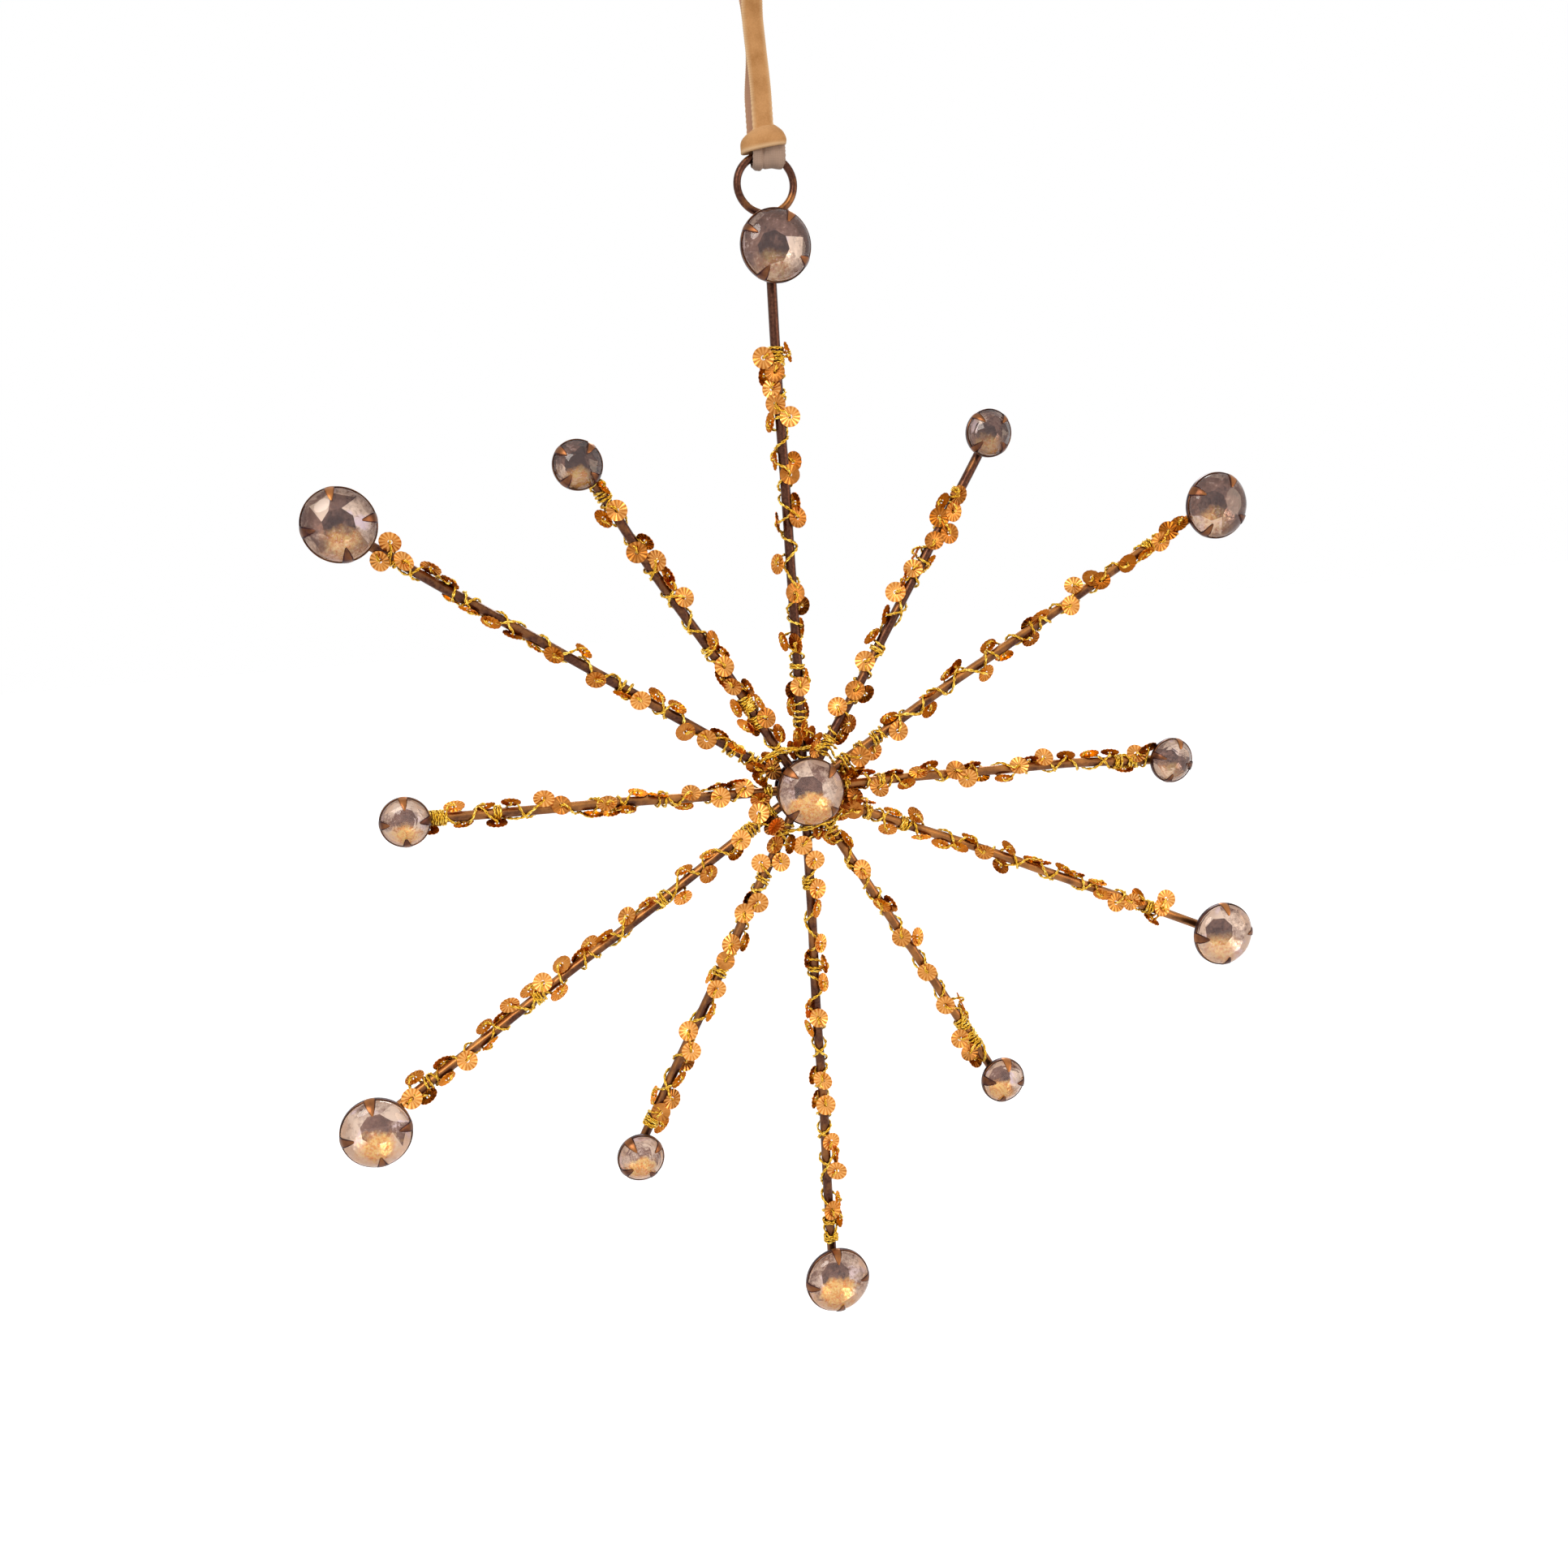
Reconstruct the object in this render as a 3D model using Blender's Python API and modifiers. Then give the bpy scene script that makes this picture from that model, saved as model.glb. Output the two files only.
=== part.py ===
"""Star ornament: twelve bronze rods with claw-set glass stones, wound with gold thread and sequins.

The star hangs by a ring and a velvet ribbon. It lies in the XZ plane, its front looks towards -Y, and the
origin is the inner top of the ribbon's loop, where a hook carries it. Lengths are in metres.
"""

import math
from typing import NamedTuple

import bmesh
import bpy
from mathutils import Matrix, Vector

# Gap between pieces that touch on the real ornament.
GAP = 0.0003

# Arms: the round rod, and the distance from the star's middle to a stone's middle.
ROD_DIAMETER = 0.0020
LONG_ARM = 0.1075
SHORT_ARM = 0.0820
ROD_BEHIND_LARGE_CUP = 0.0055
ROD_BEHIND_SMALL_CUP = 0.0035
ROD_SIDES_LEVEL = 3

# Hub: the disc behind the middle that the rods are soldered to.
HUB_DIAMETER = 0.0120
HUB_THICKNESS = 0.0008
HUB_EDGE = 0.0002
HUB_STEPS = 24

# Claw cups and their stones, a large and a small size.
LARGE_CUP_DIAMETER = 0.0141
SMALL_CUP_DIAMETER = 0.0098
CUP_WALL = 0.00035
LARGE_CUP_DEPTH = 0.0039
SMALL_CUP_DEPTH = 0.0029
LARGE_CUP_TAPER = 0.0020  # how much smaller a cup's radius is at its back than at its rim
SMALL_CUP_TAPER = 0.0015
CUP_COLLAR = 0.0010  # height of the straight wall under a cup's rim
LARGE_CUP_STEPS = 20
SMALL_CUP_STEPS = 16
CLAW_COUNT = 4
CLAW_BASE = 0.0032
CLAW_TIP = 0.0009
CLAW_REACH = 0.0026
CLAW_STEPS = (0.35, 0.70, 1.00)  # shares of the reach at which a claw bends
CLAW_CUTTER_SPREAD = 1.45  # cutter's radius in cup radii, so that it clears the wall
LARGE_DOME = 0.0028
SMALL_CROWN = 0.0016

# Rings of corners that shape a stone: (corners, share of its radius). The first ring is on its back, at a
# share of the way from its point to its girdle, and the others are on its front.
LARGE_BACK_RING = (10, 0.55, 0.42)
LARGE_FRONT_RINGS = ((20, 0.93), (20, 0.74), (10, 0.42))
LARGE_GIRDLE_CORNERS = 20
SMALL_BACK_RING = (8, 0.50, 0.40)
SMALL_GIRDLE_CORNERS = 16
SMALL_TABLE_CORNERS = 8

# Hanging ring, soldered to the end of the top rod behind the top cup's rim.
RING_DIAMETER = 0.0125
RING_WIRE = 0.0016
RING_TUCK = 0.0011
RING_STEPS = 24
RING_SIDES_LEVEL = 2

# Gold thread and sequins.
THREAD = 0.0005
TURN_PITCH = 0.0110
FEWEST_TURNS = 2
THREAD_SIDES_LEVEL = 0
THREAD_TUCK = 0.0006  # how far each end is turned in towards the rod
TUCK_START = 0.0003  # how far outside the turns that run begins
SEQUIN_DIAMETER = 0.0040
SEQUIN_THICKNESS = 0.0002
SEQUIN_CORNERS = 8
SEQUIN_HOLE = 0.0010
HOLE_CORNERS = 4
SEQUIN_PULL = 0.00042  # how far the thread pulls a sequin to one side
SEQUIN_SWAY = math.radians(32)
SWAY_PER_TURN = 2.4
SWAY_PER_ARM = 1.7

# Velvet ribbon.
RIBBON_WIDTH = 0.0040
RIBBON_THICKNESS = 0.0006
HOOK_RADIUS = 0.0023
LOOP_DROP = 0.0306
NECK_LENGTH = 0.0060
STRAND_SPREAD = 0.0011
HITCH_WIDTH = 0.0092
HITCH_RISE = 0.0054
HITCH_FALL = 0.0030
HITCH_FRONT = 0.0027
HITCH_BACK = 0.0021
TONGUE_WIDTH = 0.0066
HITCH_CORNERS = 14
LOOP_STEPS = 6
HOOK_STEPS = 8
FOLD_STEPS = 6

# Sections of the hitch from the top down, as shares of the lengths above: (height, half width, front, back).
# Heights above the wire are shares of HITCH_RISE and those below it are shares of HITCH_FALL.
BAND_SECTIONS = (
    (1.00, 0.62, 0.50, 0.50),
    (0.86, 0.94, 0.88, 0.88),
    (0.50, 1.00, 1.00, 1.00),
    (0.10, 0.96, 0.94, 1.00),
)
TONGUE_SECTIONS = (
    (0.10, 1.10, 0.70, 0.92),
    (0.65, 1.00, 0.62, 0.80),
    (1.00, 0.76, 0.32, 0.42),
)


class Arm(NamedTuple):
    """One arm, as it was bent and set by hand."""

    name: str
    is_long: bool
    lean: float  # degrees anticlockwise from its even place in the star
    stretch: float  # metres longer than its kind
    bare: float  # metres of rod left bare next to the cup
    claw_turn: float  # degrees clockwise that the claws are turned in


# From the top, clockwise, evenly spaced before they lean.
ARMS = (
    Arm("top_long", True, 0.0, 0.0, 0.0105, 30),
    Arm("upper_right_short", False, -1.5, 0.0, 0.0055, 50),
    Arm("upper_right_long", True, -1.0, 0.0, 0.0008, 30),
    Arm("right_short", False, -1.5, 0.0005, 0.0008, 20),
    Arm("lower_right_long", True, 5.5, -0.0045, 0.0045, 0),
    Arm("lower_right_short", False, 0.0, -0.0025, 0.0030, 10),
    Arm("bottom_long", True, -0.5, 0.0, 0.0008, 0),
    Arm("lower_left_short", False, 0.5, 0.0015, 0.0008, 60),
    Arm("lower_left_long", True, 2.0, 0.0020, 0.0008, -5),
    Arm("left_short", False, -2.0, -0.0010, 0.0008, 0),
    Arm("upper_left_long", True, -4.5, -0.0020, 0.0008, -8),
    Arm("upper_left_short", False, 1.5, -0.0020, 0.0008, 40),
)
CENTRE_CLAW_TURN = 45

# Sizes that follow from those above.
ROD_RADIUS = ROD_DIAMETER / 2
ARM_STEP = math.tau / len(ARMS)
ROD_ROOT = (ROD_DIAMETER + GAP) / (2 * math.sin(ARM_STEP / 2)) + GAP / 4
LARGE_CUP_RADIUS = LARGE_CUP_DIAMETER / 2
SMALL_CUP_RADIUS = SMALL_CUP_DIAMETER / 2
CUP_BACK = ROD_RADIUS + GAP
RING_RADIUS = (RING_DIAMETER - RING_WIRE) / 2
RING_HEIGHT = LONG_ARM + LARGE_CUP_RADIUS + RING_DIAMETER / 2 - RING_TUCK
PIVOT_RADIUS = STRAND_SPREAD + RIBBON_THICKNESS / 2
WIRE_HEIGHT = -LOOP_DROP - HITCH_RISE
CENTRE_HEIGHT = WIRE_HEIGHT - RING_RADIUS - RING_HEIGHT
CENTRE = Vector((0, 0, CENTRE_HEIGHT))
RING_CENTRE = CENTRE + Vector((0, 0, RING_HEIGHT))
FOLD_HEIGHT = -LOOP_DROP + GAP + PIVOT_RADIUS
NECK_TOP = FOLD_HEIGHT + NECK_LENGTH
FRONT = Vector((0, -1, 0))
LARGE_STONE_RADIUS = LARGE_CUP_RADIUS - CUP_WALL - GAP
SMALL_STONE_RADIUS = SMALL_CUP_RADIUS - CUP_WALL - GAP
LARGE_GIRDLE = LARGE_CUP_DEPTH - GAP
SMALL_GIRDLE = SMALL_CUP_DEPTH - GAP
SMALL_TABLE_RADIUS = SMALL_STONE_RADIUS - CLAW_REACH
STONE_FOOT = CUP_WALL + GAP

# One turn of thread, seen along the rod: (sideways, towards the front, share of the pitch). It comes up
# under a sequin, through its hole, over its face and round the back of the rod.
SEQUIN_UNDER = ROD_RADIUS + 2 * THREAD
OVER_FACE = SEQUIN_UNDER + SEQUIN_THICKNESS + THREAD * 0.6
THREAD_ORBIT = ROD_RADIUS + THREAD / 2 + GAP
HOLE_SHARE = 0.18
TURN = (
    (-THREAD_ORBIT, 0.0, 0.00),
    (-THREAD_ORBIT * 0.72, THREAD_ORBIT * 0.86, 0.11),
    (0.0, SEQUIN_UNDER - THREAD * 0.4, HOLE_SHARE),
    (0.0, OVER_FACE, HOLE_SHARE),
    (SEQUIN_DIAMETER / 2, OVER_FACE, 0.37),
    (SEQUIN_DIAMETER / 2 + THREAD * 0.5, THREAD_ORBIT * 0.75, 0.48),
    (THREAD_ORBIT * 0.80, -THREAD_ORBIT * 0.72, 0.64),
    (-THREAD_ORBIT * 0.55, -THREAD_ORBIT * 0.92, 0.84),
)
FRONT_POINTS = 6


def clear_scene():
    """Remove whatever the scene holds."""
    for obj in list(bpy.data.objects):
        bpy.data.objects.remove(obj)


def new_collection(name):
    """Return a new collection in the scene."""
    collection = bpy.data.collections.new(name)
    bpy.context.scene.collection.children.link(collection)
    return collection


def new_material(name, colour, metallic, roughness, alpha=1.0):
    """Return a Principled material of one linear colour."""
    material = bpy.data.materials.new(name)
    material.use_nodes = True
    shader = material.node_tree.nodes["Principled BSDF"]
    shader.inputs["Base Color"].default_value = (*colour, 1.0)
    shader.inputs["Metallic"].default_value = metallic
    shader.inputs["Roughness"].default_value = roughness
    shader.inputs["Alpha"].default_value = alpha
    material.diffuse_color = (*colour, alpha)
    return material


def place(name, data, material, collection, matrix=None):
    """Link a named object that shows data, at matrix."""
    obj = bpy.data.objects.new(name, data)
    if matrix is not None:
        obj.matrix_world = matrix
    if material is not None and not data.materials:
        data.materials.append(material)
    collection.objects.link(obj)
    return obj


def hide_helper(obj):
    """Keep a cutter or a joined shape out of the render."""
    obj.hide_render = True
    obj.display_type = "WIRE"
    return obj


def mesh_of(bm, name):
    """Turn a bmesh into a named mesh and free it."""
    mesh = bpy.data.meshes.new(name)
    bm.to_mesh(mesh)
    bm.free()
    return mesh


def shade_round(obj, angle=40):
    """Shade a round piece smooth, with creases where it turns sharply."""
    obj.data.shade_smooth()
    obj.data.set_sharp_from_angle(angle=math.radians(angle))
    return obj


def tube_curve(name, points, diameter, sides_level, closed=False):
    """Return a curve that is a tube along straight runs between points."""
    curve = bpy.data.curves.new(name, "CURVE")
    curve.dimensions = "3D"
    curve.bevel_depth = diameter / 2
    curve.bevel_resolution = int(sides_level)
    curve.use_fill_caps = not closed
    spline = curve.splines.new("POLY")
    spline.points.add(len(points) - 1)
    for spot, point in zip(spline.points, points):
        spot.co = (*point, 1.0)
    spline.use_cyclic_u = closed
    return curve


def outline_curve(name, loops, thickness):
    """Return a flat shape of closed outlines, thickness thick, centred on its plane."""
    curve = bpy.data.curves.new(name, "CURVE")
    curve.dimensions = "2D"
    curve.fill_mode = "BOTH"
    curve.extrude = thickness / 2
    for loop in loops:
        spline = curve.splines.new("POLY")
        spline.points.add(len(loop) - 1)
        for spot, (x, y) in zip(spline.points, loop):
            spot.co = (x, y, 0, 1.0)
        spline.use_cyclic_u = True
    return curve


def mesh_from_curve(curve):
    """Turn a curve into a closed mesh with its caps welded."""
    obj = bpy.data.objects.new(curve.name, curve)
    bpy.context.scene.collection.objects.link(obj)
    graph = bpy.context.evaluated_depsgraph_get()
    mesh = bpy.data.meshes.new_from_object(obj.evaluated_get(graph))
    bpy.data.objects.remove(obj)
    bm = bmesh.new()
    bm.from_mesh(mesh)
    bmesh.ops.remove_doubles(bm, verts=bm.verts, dist=1e-6)
    bmesh.ops.recalc_face_normals(bm, faces=bm.faces)
    bm.to_mesh(mesh)
    bm.free()
    mesh.name = curve.name
    return mesh


def circle_points(radius, count, start=0.0):
    """Return count points of a circle in the XY plane."""
    angles = [start + math.tau * i / count for i in range(count)]
    return [(radius * math.cos(a), radius * math.sin(a)) for a in angles]


def add_boolean(obj, other, operation):
    """Cut other from obj, or join it on."""
    modifier = obj.modifiers.new(f"{operation.title()} {other.name}", "BOOLEAN")
    modifier.operation = operation
    modifier.object = other
    modifier.solver = "EXACT"
    modifier.material_mode = "TRANSFER"
    return modifier


def facing_front(place_at, clockwise):
    """Return the matrix of a turned piece whose axis comes out of the star's front."""
    turned = Matrix.Rotation(-math.radians(clockwise), 4, "Z")
    return Matrix.Translation(place_at) @ Matrix.Rotation(math.radians(90), 4, "X") @ turned


def arm_length(arm):
    """Distance from the star's middle to this arm's stone."""
    return (LONG_ARM if arm.is_long else SHORT_ARM) + arm.stretch


def arm_angle(index):
    """Even direction of an arm, anticlockwise from +X."""
    return math.pi / 2 - ARM_STEP * index


def along(angle, distance):
    """Point of the star's plane at this angle and distance from its middle."""
    return CENTRE + Vector((math.cos(angle), 0, math.sin(angle))) * distance


def stone_place(index):
    """Where an arm's stone has its middle, in the plane of the rods."""
    arm = ARMS[index]
    return along(arm_angle(index) + math.radians(arm.lean), arm_length(arm))


def arm_frame(index):
    """Matrix at the rod's inner end: Z runs out along the rod and Y comes out of the star's front."""
    root = along(arm_angle(index), ROD_ROOT)
    outward = (stone_place(index) - root).normalized()
    side = FRONT.cross(outward)
    turn = Matrix((side, FRONT, outward)).transposed().to_4x4()
    return Matrix.Translation(root) @ turn


def rod_run(index):
    """Distance from the rod's inner end to the stone's middle."""
    return (stone_place(index) - along(arm_angle(index), ROD_ROOT)).length


def make_rods(parts, bronze):
    """Twelve straight rods. Each ends behind its cup, and the top one meets the ring."""
    for index, arm in enumerate(ARMS):
        behind_cup = ROD_BEHIND_LARGE_CUP if arm.is_long else ROD_BEHIND_SMALL_CUP
        run = rod_run(index) + behind_cup
        if index == 0:
            run = rod_run(index) + RING_HEIGHT - RING_DIAMETER / 2 - LONG_ARM - GAP
        ends = [(0, 0, 0), (0, 0, run)]
        curve = tube_curve(f"rod_{arm.name}", ends, ROD_DIAMETER, ROD_SIDES_LEVEL)
        place(f"rod_{arm.name}", curve, bronze, parts, arm_frame(index))


def make_hub(parts, bronze):
    """The disc behind the rods, with its rim rounded over."""
    bm = bmesh.new()
    bmesh.ops.create_cone(
        bm,
        cap_ends=True,
        segments=HUB_STEPS,
        radius1=HUB_DIAMETER / 2,
        radius2=HUB_DIAMETER / 2,
        depth=HUB_THICKNESS,
    )
    middle = CENTRE - FRONT * (CUP_BACK + HUB_THICKNESS / 2)
    hub = place("hub_disc", mesh_of(bm, "hub_disc"), bronze, parts, facing_front(middle, 0))
    rim = hub.modifiers.new("Rim", "BEVEL")
    rim.width = HUB_EDGE
    rim.segments = 1
    shade_round(hub)


def cup_profile(radius, taper, depth, dome_height, stone_radius):
    """Section of a cup from its outer back edge to the claws' tips and back down its inside."""
    inner = radius - CUP_WALL
    base = radius - taper
    collar = depth - CUP_COLLAR
    outside = [(base, 0.0), (radius, collar), (radius, depth)]
    inside = [(inner, depth), (inner, collar), (base - CUP_WALL / 2, CUP_WALL)]
    claw_outer = []
    claw_inner = []
    for share in CLAW_STEPS:
        reach = radius - CLAW_REACH * share
        height = dome_height(min(reach, stone_radius)) + GAP
        claw_inner.append((reach - CUP_WALL / 2, height))
        claw_outer.append((reach + CUP_WALL / 2, height + CUP_WALL))
    return [(0.0, 0.0), *outside, *claw_outer, *reversed(claw_inner), *inside, (0.0, CUP_WALL)]


def claw_cutter_mesh(name, radius, depth, top):
    """Prism that takes the wall away above depth, apart from four pointed claws."""
    clear = radius * CLAW_CUTTER_SPREAD
    tip = radius - CLAW_REACH - CUP_WALL
    base_half = CLAW_BASE / 2 * CLAW_CUTTER_SPREAD
    tip_half = CLAW_TIP / 2
    corners = ((clear, -base_half), (tip, -tip_half), (tip, tip_half), (clear, base_half))
    loop = []
    for claw in range(CLAW_COUNT):
        middle = math.tau * claw / CLAW_COUNT
        for out, side in corners:
            x = out * math.cos(middle) - side * math.sin(middle)
            y = out * math.sin(middle) + side * math.cos(middle)
            loop.append((x, y))
    curve = outline_curve(name, [loop], top - depth)
    mesh = mesh_from_curve(curve)
    mesh.transform(Matrix.Translation((0, 0, (top + depth) / 2)))
    return mesh


def turned_mesh(name, profile, steps):
    """Mesh of a profile turned about Z. The profile runs up its outside and down its inside."""
    bm = bmesh.new()
    spots = [bm.verts.new((radius, 0, height)) for radius, height in profile]
    edges = [bm.edges.new(pair) for pair in zip(spots, spots[1:])]
    bmesh.ops.spin(
        bm,
        geom=spots + edges,
        cent=(0, 0, 0),
        axis=(0, 0, 1),
        angle=math.tau,
        steps=steps,
        use_merge=True,
        use_duplicate=False,
    )
    bmesh.ops.remove_doubles(bm, verts=bm.verts, dist=1e-6)
    bmesh.ops.recalc_face_normals(bm, faces=bm.faces)
    return mesh_of(bm, name)


def large_height(distance):
    """Height of the large stone's round dome at a distance from its axis."""
    share = min(distance / LARGE_STONE_RADIUS, 1.0)
    return LARGE_GIRDLE + LARGE_DOME * math.sqrt(1 - share * share)


def small_height(distance):
    """Height of the small stone's sloping crown at a distance from its axis."""
    slope = SMALL_CROWN / SMALL_TABLE_RADIUS
    return SMALL_GIRDLE + slope * max(SMALL_STONE_RADIUS - distance, 0.0)


def stone_mesh(name, rings):
    """Cut stone: the hull of rings of points, each (count, radius, height, turned by half a step)."""
    bm = bmesh.new()
    for count, radius, height, half_turn in rings:
        start = math.pi / count if half_turn else 0.0
        for x, y in circle_points(radius, count, start):
            bm.verts.new((x, y, height))
    bmesh.ops.remove_doubles(bm, verts=bm.verts, dist=1e-6)
    bmesh.ops.convex_hull(bm, input=bm.verts)
    bmesh.ops.recalc_face_normals(bm, faces=bm.faces)
    return mesh_of(bm, name)


def large_stone_mesh():
    """Large stone: a pointed, faceted back under a dome."""
    corners, radius_share, height_share = LARGE_BACK_RING
    back_height = STONE_FOOT + (LARGE_GIRDLE - STONE_FOOT) * height_share
    rings = [
        (1, 0.0, STONE_FOOT, False),
        (corners, LARGE_STONE_RADIUS * radius_share, back_height, False),
        (LARGE_GIRDLE_CORNERS, LARGE_STONE_RADIUS, LARGE_GIRDLE - GAP, False),
        (LARGE_GIRDLE_CORNERS, LARGE_STONE_RADIUS, LARGE_GIRDLE, False),
    ]
    for number, (corners, radius_share) in enumerate(LARGE_FRONT_RINGS):
        radius = LARGE_STONE_RADIUS * radius_share
        rings.append((corners, radius, large_height(radius), number % 2 == 0))
    rings.append((1, 0.0, large_height(0.0), False))
    return stone_mesh("large_glass_stone", rings)


def small_stone_mesh():
    """Small stone: a pointed, faceted back under a sloping crown with a flat table."""
    corners, radius_share, height_share = SMALL_BACK_RING
    back_height = STONE_FOOT + (SMALL_GIRDLE - STONE_FOOT) * height_share
    halfway = (SMALL_STONE_RADIUS + SMALL_TABLE_RADIUS) / 2
    rings = [
        (1, 0.0, STONE_FOOT, False),
        (corners, SMALL_STONE_RADIUS * radius_share, back_height, True),
        (SMALL_GIRDLE_CORNERS, SMALL_STONE_RADIUS, SMALL_GIRDLE - GAP, False),
        (SMALL_GIRDLE_CORNERS, SMALL_STONE_RADIUS, SMALL_GIRDLE, False),
        (SMALL_TABLE_CORNERS, halfway, small_height(halfway), False),
        (SMALL_TABLE_CORNERS, SMALL_TABLE_RADIUS, small_height(SMALL_TABLE_RADIUS), True),
    ]
    return stone_mesh("small_glass_stone", rings)


class Setting(NamedTuple):
    """Meshes that one size of setting is made of."""

    cup: bpy.types.Mesh
    cutter: bpy.types.Mesh
    stone: bpy.types.Mesh


def large_setting():
    """Meshes of the large cup, of what shapes its claws, and of its stone."""
    profile = cup_profile(
        LARGE_CUP_RADIUS, LARGE_CUP_TAPER, LARGE_CUP_DEPTH, large_height, LARGE_STONE_RADIUS
    )
    cup = turned_mesh("large_claw_cup", profile, LARGE_CUP_STEPS)
    top = LARGE_CUP_DEPTH + LARGE_DOME + 2 * CUP_WALL
    cutter = claw_cutter_mesh("large_claw_gaps", LARGE_CUP_RADIUS, LARGE_CUP_DEPTH, top)
    return Setting(cup, cutter, large_stone_mesh())


def small_setting():
    """Meshes of the small cup, of what shapes its claws, and of its stone."""
    profile = cup_profile(
        SMALL_CUP_RADIUS, SMALL_CUP_TAPER, SMALL_CUP_DEPTH, small_height, SMALL_STONE_RADIUS
    )
    cup = turned_mesh("small_claw_cup", profile, SMALL_CUP_STEPS)
    top = LARGE_CUP_DEPTH + LARGE_DOME + 2 * CUP_WALL
    cutter = claw_cutter_mesh("small_claw_gaps", SMALL_CUP_RADIUS, SMALL_CUP_DEPTH, top)
    return Setting(cup, cutter, small_stone_mesh())


def make_settings(parts, helpers, cup_finish, glass):
    """Thirteen claw cups with stones: large on the long arms and in the middle, small on the rest."""
    large = large_setting()
    small = small_setting()
    spots = [("centre", large, CENTRE, CENTRE_CLAW_TURN)]
    for index, arm in enumerate(ARMS):
        spots.append((arm.name, large if arm.is_long else small, stone_place(index), arm.claw_turn))
    for name, setting, middle, claw_turn in spots:
        matrix = facing_front(middle + FRONT * CUP_BACK, claw_turn)
        cup = place(f"claw_cup_{name}", setting.cup, cup_finish, parts, matrix)
        cutter = place(f"claw_gaps_{name}", setting.cutter, None, helpers, matrix)
        add_boolean(cup, hide_helper(cutter), "DIFFERENCE")
        shade_round(cup)
        place(f"glass_stone_{name}", setting.stone, glass, parts, matrix)


def make_ring(parts, bronze):
    """The round wire ring in the plane of the rods."""
    circle = [(x, 0, z) for x, z in circle_points(RING_RADIUS, RING_STEPS)]
    curve = tube_curve("hanging_ring", circle, RING_WIRE, RING_SIDES_LEVEL, closed=True)
    place("hanging_ring", curve, bronze, parts, Matrix.Translation(RING_CENTRE))


def sway(arm_index, turn):
    """Angle round the rod at which this turn's sequin sits, counted from the star's front."""
    return SEQUIN_SWAY * math.sin(SWAY_PER_TURN * turn + SWAY_PER_ARM * arm_index)


def turned_about_rod(sideways, forward, angle):
    """A point beside the rod, turned about it."""
    return (
        sideways * math.cos(angle) - forward * math.sin(angle),
        sideways * math.sin(angle) + forward * math.cos(angle),
    )


def winding_span(index):
    """Where along the rod the winding starts and ends, and how many turns it has."""
    arm = ARMS[index]
    clear = THREAD + GAP
    first_sequin = (SEQUIN_DIAMETER + 2 * clear) / (2 * math.sin(ARM_STEP / 2))
    outside_hub = max(HUB_DIAMETER / 2, LARGE_CUP_RADIUS) + clear
    start = max(first_sequin - HOLE_SHARE * TURN_PITCH, outside_hub) - ROD_ROOT
    cup_radius = LARGE_CUP_RADIUS if arm.is_long else SMALL_CUP_RADIUS
    end = rod_run(index) - cup_radius - arm.bare - clear
    turns = max(FEWEST_TURNS, round((end - start) / TURN_PITCH))
    return start, end, turns


def winding_points(index):
    """Middle line of an arm's thread, in the arm's frame."""
    start, end, turns = winding_span(index)
    pitch = (end - start) / turns
    points = []
    for turn in range(turns):
        here = sway(index, turn)
        after = sway(index, turn + 1)
        for number, (sideways, forward, share) in enumerate(TURN):
            angle = here if number < FRONT_POINTS else (here + after) / 2
            x, y = turned_about_rod(sideways, forward, angle)
            points.append(Vector((x, y, start + (turn + share) * pitch)))
    last = Vector((*turned_about_rod(-THREAD_ORBIT, 0.0, sway(index, turns)), end))
    first_high, first_low = tucked_end(points[0], -1)
    last_high, last_low = tucked_end(last, 1)
    return [first_low, first_high, *points[1:], last_high, last_low]


def tucked_end(point, step):
    """The thread's last run at one end, straight in towards the rod: its outer and its inner point."""
    out = Vector((point.x, point.y, 0)).normalized()
    high = point + out * TUCK_START + Vector((0, 0, step * THREAD))
    return high, high - out * THREAD_TUCK


def least_gap(points, diameter, apart):
    """Least clear distance between stretches of one thread at least apart points from each other."""
    least = math.inf
    for i, point in enumerate(points):
        for j in range(i + apart, len(points) - 1):
            a = points[j]
            b = points[j + 1]
            run = b - a
            share = max(0.0, min(1.0, (point - a).dot(run) / run.length_squared))
            least = min(least, (a + run * share - point).length - diameter)
    return least


def sequins_mesh(name, index):
    """All the sequins of one arm, each pulled against the thread by one side of its hole."""
    start, end, turns = winding_span(index)
    pitch = (end - start) / turns
    hole_half_corner = math.pi / HOLE_CORNERS
    outer = circle_points(SEQUIN_DIAMETER / 2, SEQUIN_CORNERS, math.pi / SEQUIN_CORNERS)
    hole_radius = SEQUIN_HOLE / 2 / math.cos(hole_half_corner)
    hole = circle_points(hole_radius, HOLE_CORNERS, hole_half_corner)
    disc = mesh_from_curve(outline_curve("sequin", [outer, hole], SEQUIN_THICKNESS))
    height = SEQUIN_UNDER + SEQUIN_THICKNESS / 2
    upright = Matrix.Rotation(math.radians(-90), 4, "X")
    bm = bmesh.new()
    for turn in range(turns):
        angle = sway(index, turn)
        x, y = turned_about_rod(SEQUIN_PULL, height, angle)
        middle = Vector((x, y, start + (turn + HOLE_SHARE) * pitch))
        spare = disc.copy()
        spare.transform(Matrix.Translation(middle) @ Matrix.Rotation(angle, 4, "Z") @ upright)
        bm.from_mesh(spare)
        bpy.data.meshes.remove(spare)
    bpy.data.meshes.remove(disc)
    return mesh_of(bm, name)


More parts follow.
